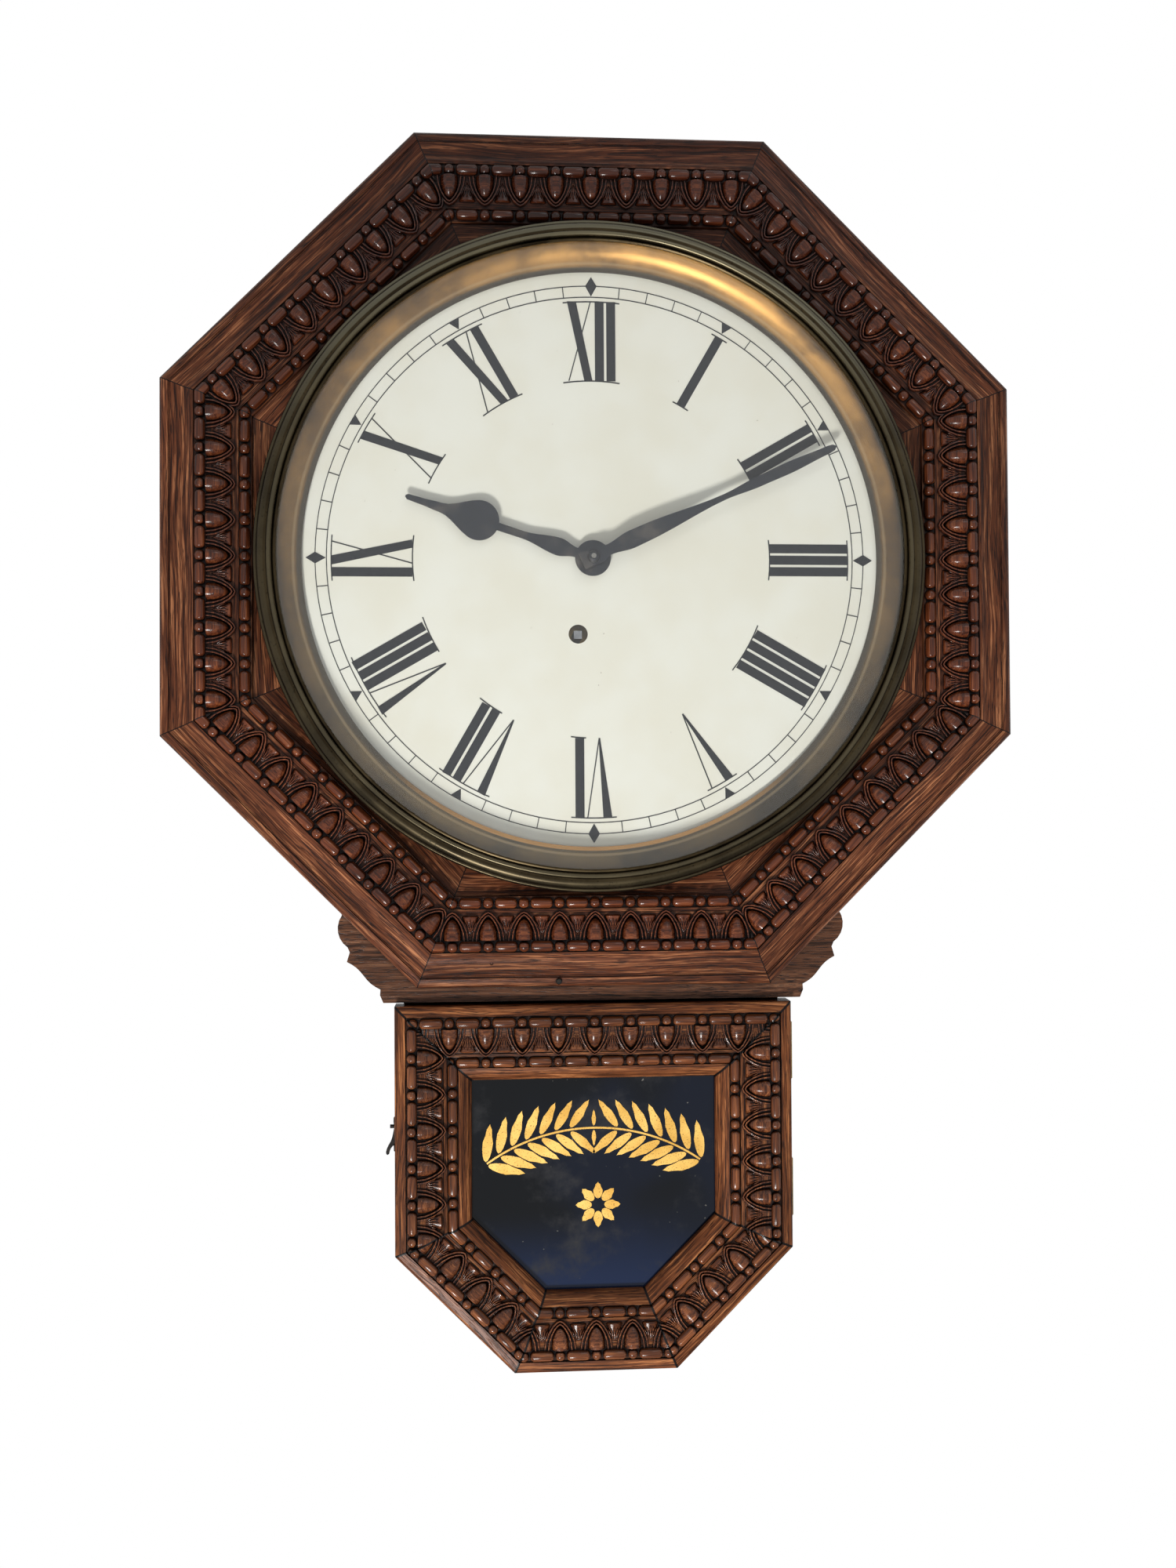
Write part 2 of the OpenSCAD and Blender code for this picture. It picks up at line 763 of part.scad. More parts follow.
module dial_print() {
    mark_w = 3;
    mark_in = track_r + 0.4;
    mark_out = track_r + track_w + 4.8;
    color([0.10, 0.11, 0.14])
        plate(dial_front_d, print_t) {
            for (r = [track_r, track_r + track_w])
                difference() {
                    circle(r = r + line_w / 2);
                    circle(r = r - line_w / 2);
                }
            for (i = [0:59])
                if (i % 5 != 0)
                    rotate(-6 * i)
                        translate([-line_w / 2, track_r])
                            square([line_w, track_w]);
            for (i = [1:12])
                rotate(-30 * i) {
                    figure(figures[i - 1]);
                    if (i % 3 == 0)
                        polygon([[0, mark_in], [mark_w, track_r + track_w], [0, mark_out],
                                 [-mark_w, track_r + track_w]]);
                    else
                        polygon([[0, mark_in], [mark_w, track_r + track_w], [-mark_w, track_r + track_w]]);
                }
        }
}

// Half-width of a hand at a distance from its axis, eased between chosen stations
function ease(t) = t * t * (3 - 2 * t);
function side(st, sign, steps = 6) =
    [for (i = [0:len(st) - 2])
        for (k = [0:steps - 1])
            let (p = st[i], run = st[i + 1] - p, t = k / steps)
            [sign * (p[1] + run[1] * ease(t)), p[0] + run[0] * t]];
function outline(st) =
    let (a = side(st, -1), b = side(st, 1), e = st[len(st) - 1])
    concat(a, [[-e[1], e[0]], [e[1], e[0]]], [for (k = [len(b) - 1:-1:0]) b[k]]);

minute_len = track_r + minute_over;
hour_len = figure_r + hour_over;
spade_r = 10.4;
spade_mid = hour_len - 39.8;
minute_stations = [
    [-6.5, 4.2], [4, 4.6], [9, 2.8], [22, 4.6], [28, 4.5], [76, 1.45], [minute_len - 44.7, 2.7],
    [minute_len - 27.7, 3], [minute_len - 4.7, 2], [minute_len - 1.8, 1.6], [minute_len, 0.4]
];
hour_stations = [
    [0, 2.5], [9.3, 2.5], [18.5, 4.6], [38, 1.9], [spade_mid - 6, 2], [spade_mid, spade_r],
    [hour_len - 18.8, 2.4], [hour_len - 7.8, 1.65], [hour_len - 1.3, 1.4], [hour_len, 0.5]
];

// Spade hand: a leaf, a neck and a round spade that tapers to the tip
module hour_hand() {
    color(blued)
        difference() {
            union() {
                plate(hour_back_d, hand_t)
                    rotate(-hour_angle) {
                        polygon(outline(hour_stations));
                        translate([0, spade_mid]) circle(r = spade_r);
                    }
                bar([0, 0], hour_hub_r, hour_back_d, hand_t);
            }
            bar([0, 0], hour_pipe_r, hour_back_d - 1, hand_t + 2);
        }
}

module minute_hand() {
    color(blued)
        difference() {
            plate(minute_back_d, hand_t) rotate(-minute_angle) polygon(outline(minute_stations));
            bar([0, 0], cannon_r, minute_back_d - 1, hand_t + 2);
        }
}

module hand_nut() {
    color(blued)
        difference() {
            turned([[0, nut_back_d], [nut_base_r, nut_back_d], [nut_base_r, nut_back_d + 0.8],
                    [nut_base_r - 0.6, nut_back_d + 1.9], [nut_base_r - 1.4, nut_back_d + nut_t],
                    [0, nut_back_d + nut_t]]);
            bar([0, 0], arbor_r, nut_back_d - 1, nut_t + 2);
        }
}

// The lower door: its six moulded pieces, its glass and the slips that hold it
module door_rail_bottom() {
    color(oak) door_piece(0);
}

module door_slant_right() {
    color(oak) door_piece(1);
}

module door_stile_right() {
    color(oak) door_piece(2);
}

module door_rail_top() {
    color(oak) door_piece(3);
}

module door_stile_left() {
    color(oak) door_piece(4);
}

module door_slant_left() {
    color(oak) door_piece(5);
}

glass_inset = door_frame_w - rebate_w + 0.2;

module tablet_glass() {
    color([0.05, 0.06, 0.12])
        plate(door_back_d + rebate_h - tablet_t, tablet_t) polygon(inset_all(door_pts, glass_inset));
}

module glass_slips() {
    color(oak)
        for (i = [0:len(door_pts) - 1])
            plate(door_back_d + 0.1, rebate_h - tablet_t - 0.1)
                polygon(strip(door_pts, i, glass_inset + rebate_w - 1.4, glass_inset));
}

// Door hinges: each fixed leaf is screwed to the drop's side and reaches round to the pin
door_hinge_z = [-door_top_z - door_hinge_inset, door_side_z + door_hinge_inset];
door_knuckle_len = door_hinge_len / 3;

module door_hinge_plates() {
    x = door_hinge_x;
    half = door_hinge_len / 2;
    color(brass)
        for (mid = door_hinge_z) {
            for (z = [mid - half, mid + half - door_knuckle_len])
                difference() {
                    union() {
                        upright(x, door_hinge_d, z, door_knuckle_r, door_knuckle_len);
                        translate([drop_half, -drop_d, z])
                            cube([x - drop_half, hinge_leaf_t, door_knuckle_len]);
                    }
                    upright(x, door_hinge_d, z - 1, door_pin_r + run_gap, door_knuckle_len + 2);
                }
            translate([drop_half, -drop_d, mid - half])
                cube([hinge_leaf_t, drop_leaf_w, door_hinge_len]);
            upright(x, door_hinge_d, mid - half - 0.5, door_pin_r, door_hinge_len + 1);
            upright(x, door_hinge_d, mid + half, door_knuckle_r * 0.8, 0.5);
            upright(x, door_hinge_d, mid - half - 0.5, door_knuckle_r * 0.8, 0.5);
        }
}

module door_hinge_leaves() {
    x = door_hinge_x;
    len = door_knuckle_len - 2 * slide_gap;
    color(brass)
        for (mid = door_hinge_z)
            difference() {
                union() {
                    upright(x, door_hinge_d, mid - len / 2, door_knuckle_r, len);
                    translate([door_half + 0.02, -door_hinge_d - door_leaf_w, mid - len / 2])
                        cube([hinge_leaf_t, door_leaf_w, len]);
                }
                upright(x, door_hinge_d, mid - len, door_pin_r + run_gap, 2 * len);
            }
}

// Hook: it hangs from a screw in the drop's side and swings forward to a pin in the door
module crosswise(x, d, z, r, h) {
    translate([x, -d, z])
        rotate([0, 90, 0])
            cylinder(r = r, h = h);
}

module hook_pivot() {
    color(blued) {
        crosswise(hook_x - slide_gap, hook_pivot_d, hook_z, hook_screw_r,
            -drop_half - hook_x + slide_gap + 0.01);
        crosswise(hook_x - slide_gap - 1, hook_pivot_d, hook_z, hook_screw_r + 1.2, 1);
        crosswise(-drop_half - 3, hook_pivot_d, hook_z, hook_screw_r + 1.2, 3);
    }
}

module hook_pin() {
    color(blued) {
        crosswise(-door_half - hook_gap - hook_t - 0.6, hook_pivot_d + hook_reach, hook_z, hook_pin_r,
            hook_gap + hook_t + 0.6);
        crosswise(-door_half - 0.5, hook_pivot_d + hook_reach, hook_z, hook_pin_r + 0.8, 0.5);
    }
}

module door_hook() {
    notch_r = hook_pin_r + 0.4;
    ring_r = hook_screw_r + 1.4;
    color(blued)
        difference() {
            union() {
                crosswise(hook_x, hook_pivot_d, hook_z, ring_r, hook_t);
                translate([hook_x, -hook_pivot_d - 1.1, hook_z - hook_reach])
                    cube([hook_t, 2.2, hook_reach - hook_screw_r - 0.5]);
                crosswise(hook_x, hook_pivot_d, hook_z - hook_reach, notch_r + 1.3, hook_t);
                translate([hook_x - 1.6, -hook_pivot_d - 1.3, hook_z - hook_reach - notch_r - 1])
                    cube([1.8, 2.6, 2.2]);
            }
            crosswise(hook_x - 1, hook_pivot_d, hook_z, hook_screw_r + run_gap, hook_t + 2);
            crosswise(hook_x - 0.01, hook_pivot_d, hook_z - hook_reach, notch_r, hook_t + 1);
            translate([hook_x - 0.01, -hook_pivot_d, hook_z - hook_reach - notch_r + 0.4])
                cube([hook_t + 1, notch_r + 3, 2 * notch_r - 0.8]);
        }
}

// A toothed wheel as an outline: narrow teeth with room on both sides
function wheel_pts(n, m, add, ded, half_w, tip_w, dir) =
    let (r = n * m / 2, step = 360 / n)
    [for (i = [0:n - 1])
        for (c = [[r - ded * m, half_w * 1.15], [r, half_w], [r + add * m, tip_w],
                  [r + add * m, -tip_w], [r, -half_w], [r - ded * m, -half_w * 1.15]])
            let (a = dir + i * step - c[1] * m / c[0] * 180 / PI)
            [c[0] * cos(a), c[0] * sin(a)]];
function wheel_out(n, m, dir) = wheel_pts(n, m, 0.9, 1.2, 0.6, 0.28, dir);
function pinion_out(n, m, dir) = wheel_pts(n, m, 0.75, 1.5, 0.5, 0.22, dir);

module toothed(at, pts, from_d, t, bore_r = 0) {
    translate([at[0], 0, at[1]])
        difference() {
            plate(from_d, t) polygon(pts);
            if (bore_r > 0) bar([0, 0], bore_r, from_d - 1, t + 2);
        }
}

// A wheel whose rim, hub and four spokes are left between the cut-outs of the sheet
module spoked(at, pts, r, from_d, t, bore_r, spoke_dir = 0) {
    rim = r * 0.8;
    hub = max(bore_r + 1.5, r * 0.22);
    spoke_w = r * 0.14;
    difference() {
        toothed(at, pts, from_d, t, bore_r);
        translate([at[0], 0, at[1]])
            plate(from_d - 1, t + 2)
                difference() {
                    circle(r = rim);
                    circle(r = hub);
                    for (a = [0, 90]) rotate(spoke_dir + a) square([2 * r, spoke_w], center = true);
                }
    }
}

// An arbor between the plates with a pivot at each end
module arbor(at, r) {
    bar(at, r, work_d + end_gap, plate_gap - 2 * end_gap);
    bar(at, pivot_r, back_plate_d, plate_gap + 2 * plate_t);
}

// The front plate also carries the minute wheel's stud
module front_plate() {
    color(brass) {
        plate_with_holes(front_plate_d, arbor_r + run_gap, main_pivot_r + run_gap);
        bar(stud_pos, stud_r, front_plate_d + 1, hour_wheel_d + wheel_t + 1 - front_plate_d);
        bar(stud_pos, stud_r + 0.8, plate_front_d, cannon_d - plate_front_d - end_gap);
    }
}

module back_plate() {
    color(brass) plate_with_holes(back_plate_d, pivot_r + run_gap, main_pivot_r + run_gap);
}

// The centre hole differs, because the centre arbor carries on to the hands in front
module plate_with_holes(from_d, center_r, main_r) {
    difference() {
        plate(from_d, plate_t)
            translate([-plate_half_w, -plate_bottom_z])
                square([2 * plate_half_w, plate_bottom_z + plate_top_z]);
        bar([0, 0], center_r, from_d - 1, plate_t + 2);
        bar(main_pos, main_r, from_d - 1, plate_t + 2);
        for (p = [third_pos, escape_pos, verge_pos])
            bar(p, pivot_r + run_gap, from_d - 1, plate_t + 2);
        for (p = pillar_pts) bar(p, pillar_neck_r + run_gap, from_d - 1, plate_t + 2);
        plate(from_d - 1, plate_t + 2) {
            translate([-plate_half_w + 7, 0]) square([22, 42]);
            translate([plate_half_w - 29, 22]) square([22, 20]);
            translate([plate_half_w - 29, -70]) square([20, 50]);
        }
    }
}

// Pillars with their feet on the backboard and their nuts in front
module pillars() {
    color(brass)
        for (p = pillar_pts) {
            bar(p, pillar_r + 2, back_t, 2);
            bar(p, pillar_r, back_t, foot_len);
            bar(p, pillar_neck_r, back_plate_d - 1, plate_gap + 2 * plate_t + 3);
            bar(p, pillar_r, work_d, plate_gap);
            bar(p, pillar_r, plate_front_d, 3);
        }
}

module main_wheel() {
    r = main_module * main_teeth / 2;
    color(brass) {
        spoked(main_pos, wheel_out(main_teeth, main_module, main_dir + 180), r, main_wheel_d,
            main_wheel_t, main_arbor_r + run_gap, click_dir);
        bar(click_pos, click_stud_r, main_wheel_d + 0.5, main_wheel_t + end_gap + ratchet_t);
    }
}

// Winding arbor with its ratchet, and the square that the key turns
square_front_d = flat_d - 2;

module winding_arbor() {
    color(steel) {
        bar(main_pos, main_arbor_r, work_d + end_gap, plate_gap - 2 * end_gap);
        bar(main_pos, main_pivot_r, back_plate_d, plate_gap + 2 * plate_t + 1);
        plate(plate_front_d + 0.5, square_front_d - plate_front_d - 0.5)
            translate(main_pos)
                square(square_w, center = true);
        translate([main_pos[0], 0, main_pos[1]])
            plate(ratchet_d, ratchet_t)
                polygon([for (i = [0:ratchet_teeth - 1])
                    for (c = [[ratchet_r, 0], [ratchet_r - 2, -1]])
                        polar(c[0], click_dir - 38 + 360 / ratchet_teeth * i + c[1])]);
    }
}

// Click: it lifts over the ratchet's teeth as the clock is wound
module click() {
    eye_r = click_stud_r + 1.6;
    color(steel)
        difference() {
            union() {
                bar(click_pos, eye_r, ratchet_d, ratchet_t - 0.2);
                translate([click_pos[0], 0, click_pos[1]])
                    plate(ratchet_d, ratchet_t - 0.2)
                        rotate(click_dir + 180 + click_turn)
                            polygon([[0, -eye_r], [click_len, 0], [click_len - 0.6, 1.6], [0, eye_r]]);
            }
            bar(click_pos, click_stud_r + run_gap, ratchet_d - 1, ratchet_t + 2);
        }
}

// Mainspring: an open spiral round the arbor, its outer end hooked on a pillar
spring_turns = 8;
spring_in_r = 8;
spring_out_r = 26;
spring_strip_t = 0.7;
spring_start = 24;
function coil(side) =
    [for (k = [0:spring_turns * 24])
        let (a = spring_start + 15 * k, share = k / (spring_turns * 24))
        let (r = spring_in_r + (spring_out_r - spring_in_r) * share + side * spring_strip_t / 2)
        polar(r, a)];

module mainspring() {
    spiral_in = coil(-1);
    spiral_out = coil(1);
    hook_to = pillar_pts[0] - main_pos;
    last = spiral_out[len(spiral_out) - 1];
    color(steel)
        translate([main_pos[0], 0, main_pos[1]]) {
            plate(spring_d, spring_w)
                polygon(concat(spiral_out, [for (k = [len(spiral_in) - 1:-1:0]) spiral_in[k]]));
            difference() {
                union() {
                    bar(hook_to, pillar_r + 1, spring_d, spring_w);
                    plate(spring_d, spring_w) spring_tail(polar(spring_out_r, spring_start), hook_to);
                }
                bar(hook_to, pillar_r + 0.1, spring_d - 1, spring_w + 2);
            }
        }
}

// The straight end of the mainspring, from its last coil to the pillar
module spring_tail(from, to) {
    d = (to - from) / norm(to - from);
    n = [-d[1], d[0]] * spring_strip_t / 2;
    polygon([from + n, to + n, to - n, from - n]);
}

module center_wheel() {
    r = train_module * wheel_teeth / 2;
    color(brass)
        spoked([0, 0], wheel_out(wheel_teeth, train_module, third_dir), r, center_wheel_d, wheel_t,
            arbor_r);
    color(steel) {
        bar([0, 0], arbor_r, work_d + end_gap, nut_back_d + nut_t + 0.6 - work_d - end_gap);
        bar([0, 0], pivot_r, back_plate_d, plate_t + 1);
        toothed([0, 0], pinion_out(pinion_teeth, main_module, main_dir + 180 / pinion_teeth),
            main_wheel_d - 1, main_wheel_t + 2);
    }
}

module cannon_pinion() {
    color(brass) {
        toothed([0, 0], pinion_out(cannon_teeth, minute_module, stud_dir + 180 / cannon_teeth), cannon_d,
            wheel_t, arbor_r);
        difference() {
            bar([0, 0], cannon_r, cannon_d + wheel_t - 0.1,
                minute_back_d + hand_t - cannon_d - wheel_t + 0.1);
            bar([0, 0], arbor_r, cannon_d, minute_back_d);
        }
    }
}

module third_wheel() {
    r = train_module * wheel_teeth / 2;
    color(brass)
        spoked(third_pos, wheel_out(wheel_teeth, train_module, escape_dir), r, third_wheel_d, wheel_t,
            arbor_r);
    color(steel) {
        arbor(third_pos, arbor_r);
        toothed(third_pos, pinion_out(pinion_teeth, train_module, third_dir + 180 + 180 / pinion_teeth),
            center_wheel_d - 1.5, wheel_t + 3);
    }
}

module escape_wheel() {
    tooth = [[escape_r - 2.4, 0], [escape_r, 3.6], [escape_r, 4.2], [escape_r - 2.4, 5.5]];
    color(brass)
        difference() {
            translate([escape_pos[0], 0, escape_pos[1]])
                plate(escape_wheel_d, wheel_t)
                    polygon([for (i = [0:escape_teeth - 1])
                        for (c = tooth) polar(c[0], 360 / escape_teeth * i + c[1])]);
            for (i = [0:3])
                bar(escape_pos + polar(7.5, 45 + 90 * i), 3.4, escape_wheel_d - 1, wheel_t + 2);
        }
    color(steel) {
        arbor(escape_pos, arbor_r * 0.9);
        toothed(escape_pos, pinion_out(pinion_teeth, train_module, escape_dir + 180 + 180 / pinion_teeth),
            third_wheel_d - 1.5, wheel_t + 3);
    }
}

// Minute wheel with its pinion, on a stud in the front plate
module minute_wheel() {
    color(brass) {
        toothed(stud_pos, wheel_out(minute_teeth, minute_module, stud_dir + 180), cannon_d, wheel_t,
            stud_r + run_gap);
        toothed(stud_pos, pinion_out(minute_pinion_teeth, hour_module,
            stud_dir + 180 + 180 / minute_pinion_teeth), cannon_d + wheel_t - 0.1, wheel_t + 2,
            stud_r + run_gap);
    }
}

module hour_wheel() {
    pipe_d = hour_wheel_d + wheel_t - 0.1;
    color(brass) {
        toothed([0, 0], wheel_out(hour_teeth, hour_module, stud_dir), hour_wheel_d, wheel_t, hour_pipe_in_r);
        difference() {
            bar([0, 0], hour_pipe_r, pipe_d, hour_back_d + hand_t - pipe_d);
            bar([0, 0], hour_pipe_in_r, hour_wheel_d, hour_back_d);
        }
    }
}

// Verge: its arbor, the anchor over the escape wheel, and the crutch behind the back plate
anchor_lift = escape_r + 2.4;
crutch_z = 6;

module verge() {
    pallet = escape_pos + polar(anchor_lift, 45);
    color(steel) {
        bar(verge_pos, arbor_r, work_d + end_gap, plate_gap - 2 * end_gap);
        bar(verge_pos, pivot_r, rod_d + 7, front_plate_d + plate_t - rod_d - 7);
        bar(verge_pos, 3.2, anchor_d, anchor_t);
        plate(anchor_d, anchor_t)
            for (s = [-1, 1])
                polygon([[0, verge_z + 1.6], [s * 10, verge_z - 4], [s * (pallet[0] + 2), pallet[1] + 1],
                         [s * pallet[0], pallet[1]], [s * 8.6, verge_z - 6.5], [0, verge_z - 1.6]]);
        plate(rod_d + 7.5, 1.5)
            translate([-1.2, crutch_z])
                square([2.4, verge_z - crutch_z + 1]);
        difference() {
            translate([-rod_r - 3, -rod_d - 9, crutch_z - 2]) cube([2 * rod_r + 6, 11, 4]);
            translate([-rod_r - slide_gap, -rod_d - rod_r - 1, crutch_z - 3])
                cube([2 * (rod_r + slide_gap), 10, 6]);
        }
    }
}

// The cock carries the suspension between its two jaws, above the line it bends on
module suspension_cock() {
    jaw_w = 5;
    slot = 0.6;
    color(brass)
        difference() {
            translate([-jaw_w, -back_plate_d, verge_z + 1.5])
                cube([2 * jaw_w, back_plate_d - rod_d + 4, 9]);
            translate([-slot, -rod_d - 4, verge_z])
                cube([2 * slot, 9, 6]);
        }
}

module suspension_spring() {
    color(steel)
        translate([-0.15, -rod_d - 2.5, verge_z - 5])
            cube([0.3, 5, 9.5]);
}

module pendulum_rod() {
    color(steel) {
        bar_len = verge_z - 5 - rod_end_z;
        upright(0, rod_d, rod_end_z, rod_r, bar_len - 3);
        difference() {
            translate([-2, -rod_d - 3, verge_z - 9]) cube([4, 6, 6]);
            translate([-0.15, -rod_d - 2.5, verge_z - 5]) cube([0.3, 5, 4]);
        }
    }
}

// Bob: a lens of brass over lead, free to slide on the rod and resting on the rating nut
module pendulum_bob() {
    edge = bob_t * 0.2;
    color(brass)
        difference() {
            translate([0, -rod_d, bob_z])
                rotate([90, 0, 0])
                    rotate_extrude()
                        polygon([[0, -bob_t / 2], [bob_r * 0.5, -bob_t * 0.45], [bob_r * 0.85, -bob_t * 0.3],
                                 [bob_r, -edge / 2], [bob_r, edge / 2], [bob_r * 0.85, bob_t * 0.3],
                                 [bob_r * 0.5, bob_t * 0.45], [0, bob_t / 2]]);
            upright(0, rod_d, bob_z - bob_r - 1, rod_r + bob_gap, 2 * bob_r + 2);
        }
}

module rating_nut() {
    z = bob_z - bob_r * cos(asin((rod_r + bob_gap) / bob_r)) - rating_nut_h - 0.2;
    color(brass)
        difference() {
            upright(0, rod_d, z, nut_r, rating_nut_h);
            upright(0, rod_d, z - 1, rod_r + bob_gap, rating_nut_h + 2);
        }
}

backboard();
case_top();
case_sides();
shoulders();
drop_sides();
drop_slants();
drop_bottom();
apron();
head_stave_bottom();
head_stave_lower_right();
head_stave_right();
head_stave_upper_right();
head_stave_top();
head_stave_upper_left();
head_stave_left();
head_stave_lower_left();
hanger_plate();
case_screws();
bezel_hinge_plate();
door_hinge_plates();
hook_pivot();
door_rail_bottom();
door_slant_right();
door_stile_right();
door_rail_top();
door_stile_left();
door_slant_left();
tablet_glass();
glass_slips();
door_hinge_leaves();
hook_pin();
door_hook();
bezel_ring();
sight_ring();
bezel_glass();
bezel_hinge_leaf();
dial_pan();
dial_print();
hour_hand();
minute_hand();
hand_nut();
front_plate();
back_plate();
pillars();
suspension_cock();
main_wheel();
mainspring();
winding_arbor();
click();
center_wheel();
cannon_pinion();
third_wheel();
escape_wheel();
minute_wheel();
hour_wheel();
verge();
pendulum_rod();
suspension_spring();
pendulum_bob();
rating_nut();
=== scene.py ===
import bmesh
import bpy
import math
from mathutils import Matrix, Vector


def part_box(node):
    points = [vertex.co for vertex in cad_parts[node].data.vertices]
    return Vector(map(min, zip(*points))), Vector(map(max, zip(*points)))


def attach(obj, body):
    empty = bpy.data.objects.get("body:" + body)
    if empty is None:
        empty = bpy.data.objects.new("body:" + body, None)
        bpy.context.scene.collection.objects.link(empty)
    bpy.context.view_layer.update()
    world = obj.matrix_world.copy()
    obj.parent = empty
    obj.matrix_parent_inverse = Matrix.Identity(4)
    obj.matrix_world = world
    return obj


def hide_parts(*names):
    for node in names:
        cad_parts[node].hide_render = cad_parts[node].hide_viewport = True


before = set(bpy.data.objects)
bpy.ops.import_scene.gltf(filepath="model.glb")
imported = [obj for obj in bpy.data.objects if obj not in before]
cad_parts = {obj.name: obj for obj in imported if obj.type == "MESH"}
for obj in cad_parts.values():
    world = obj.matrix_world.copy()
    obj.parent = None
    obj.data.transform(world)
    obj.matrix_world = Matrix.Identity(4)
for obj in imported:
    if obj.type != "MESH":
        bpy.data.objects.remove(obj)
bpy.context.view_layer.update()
MM = 0.001

# Camera, as the photographer held it: a little low and left of the middle
CAMERA_PLACE = Vector((-0.0537, -0.8476, -0.1310))
CAMERA_TILT, CAMERA_PAN, CAMERA_ROLL = -1.04, -3.88, -0.34
CAMERA_LENS = 33.02
CAMERA_FILM = 36.0


def make_camera():
    level = Matrix(((1, 0, 0), (0, 0, -1), (0, 1, 0)))
    roll = Matrix.Rotation(math.radians(CAMERA_ROLL), 3, "Z")
    tilt = Matrix.Rotation(math.radians(CAMERA_TILT), 3, "X")
    pan = Matrix.Rotation(math.radians(CAMERA_PAN), 3, "Y")
    right, down, ahead = roll @ tilt @ pan @ level
    turn = Matrix((right, -down, -ahead)).transposed()
    bpy.ops.object.camera_add()
    camera = bpy.context.object
    camera.matrix_world = Matrix.Translation(CAMERA_PLACE) @ turn.to_4x4()
    camera.data.sensor_fit = "VERTICAL"
    camera.data.sensor_height = CAMERA_FILM
    camera.data.lens = CAMERA_LENS
    camera.data.clip_start = 0.01
    bpy.context.scene.camera = camera


make_camera()

# Sizes and places, read from a CAD box of model.glb where one gives them
HEAD_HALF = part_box("head_stave_right")[1].x
HEAD_BACK = -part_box("head_stave_right")[1].y
HEAD_SIDE = HEAD_HALF * math.tan(math.radians(22.5))
HEAD_BORE = 140 * MM
DOOR_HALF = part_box("door_rail_top")[1].x
DOOR_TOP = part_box("door_rail_top")[1].z
DOOR_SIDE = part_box("door_stile_left")[0].z
DOOR_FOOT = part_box("door_rail_bottom")[0].z
DOOR_FOOT_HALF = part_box("door_rail_bottom")[1].x
DOOR_BACK = -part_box("door_rail_top")[1].y
TABLET_FRONT = -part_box("tablet_glass")[0].y
HEAD_CORNERS = [
    Vector((-HEAD_SIDE, -HEAD_HALF)), Vector((HEAD_SIDE, -HEAD_HALF)),
    Vector((HEAD_HALF, -HEAD_SIDE)), Vector((HEAD_HALF, HEAD_SIDE)),
    Vector((HEAD_SIDE, HEAD_HALF)), Vector((-HEAD_SIDE, HEAD_HALF)),
    Vector((-HEAD_HALF, HEAD_SIDE)), Vector((-HEAD_HALF, -HEAD_SIDE)),
]
HEAD_NAMES = ["bottom", "lower_right", "right", "upper_right", "top", "upper_left", "left", "lower_left"]
DOOR_CORNERS = [
    Vector((-DOOR_FOOT_HALF, DOOR_FOOT)), Vector((DOOR_FOOT_HALF, DOOR_FOOT)),
    Vector((DOOR_HALF, DOOR_SIDE)), Vector((DOOR_HALF, DOOR_TOP)),
    Vector((-DOOR_HALF, DOOR_TOP)), Vector((-DOOR_HALF, DOOR_SIDE)),
]
DOOR_NAMES = ["rail_bottom", "slant_right", "stile_right", "rail_top", "stile_left", "slant_left"]

# Sections of the two mouldings, in millimetres inward from the edge and forward from the back
HEAD_SECTION = [
    (0, 0), (0, 11.4), (0.5, 12.3), (1.6, 13.2), (4.6, 13.7), (5.0, 13.2), (5.5, 13.2), (6.0, 13.9),
    (9, 13.9), (12.5, 14.3), (15.2, 15.3), (16.2, 16.1), (17.9, 16.2), (18.1, 15.2), (24.3, 15.0),
    (24.5, 14.6), (28, 14.3), (33, 13.6), (38.2, 12.9), (38.4, 13.3), (40.2, 13.1), (40.4, 12.0),
    (46.6, 11.8), (46.8, 9.3), (47.4, 9), (94.6, 9), (94.6, 0),
]
DOOR_SECTION = [
    (0, 0), (0, 14.4), (0.6, 15), (1.6, 15.3), (5.6, 15.9), (6.0, 15.0), (11.8, 15.0), (12, 14.9),
    (16, 14.7), (21, 13.8), (25, 13.0), (25.3, 13.5), (26.9, 13.2), (27.1, 12.2), (32.5, 12.0),
    (32.8, 12.9), (34.7, 12.5), (37, 10.7), (39.1, 8.5), (39.7, 7.5), (39.7, 5), (34.7, 5), (34.7, 0),
]

# Widths of the dark line at a mitre, and how far apart in the wood two neighbouring lengths are cut
SEAM_HEAD = 0.35 * MM
SEAM_DOOR = 0.8 * MM
HEAD_GRAIN_STEP = Vector((0.31, 0.07, 0.05))
DOOR_GRAIN_STEP = Vector((0.27, 0.09, 0.04))
DOOR_GRAIN_START = 9
MITRE_SPARE = 4 * MM


def srgb(red, green, blue):
    """A colour as it is seen, from 0 to 255, as Blender's linear one."""
    def linear(c):
        c /= 255
        return c / 12.92 if c <= 0.04045 else ((c + 0.055) / 1.055) ** 2.4
    return (linear(red), linear(green), linear(blue), 1)


# Modelling by hand: small steps that every piece uses
def alone(piece):
    """Makes a piece the only selected object and the active one."""
    bpy.ops.object.select_all(action="DESELECT")
    piece.select_set(True)
    bpy.context.view_layer.objects.active = piece


def named(name):
    """Names the object that was added last and settles its place into its mesh."""
    piece = bpy.context.object
    piece.name = name
    piece.data.name = name
    alone(piece)
    bpy.ops.object.transform_apply(location=True, rotation=True, scale=True)
    return piece


def edit(piece):
    alone(piece)
    bpy.ops.object.mode_set(mode="EDIT")
    bpy.ops.mesh.select_all(action="SELECT")


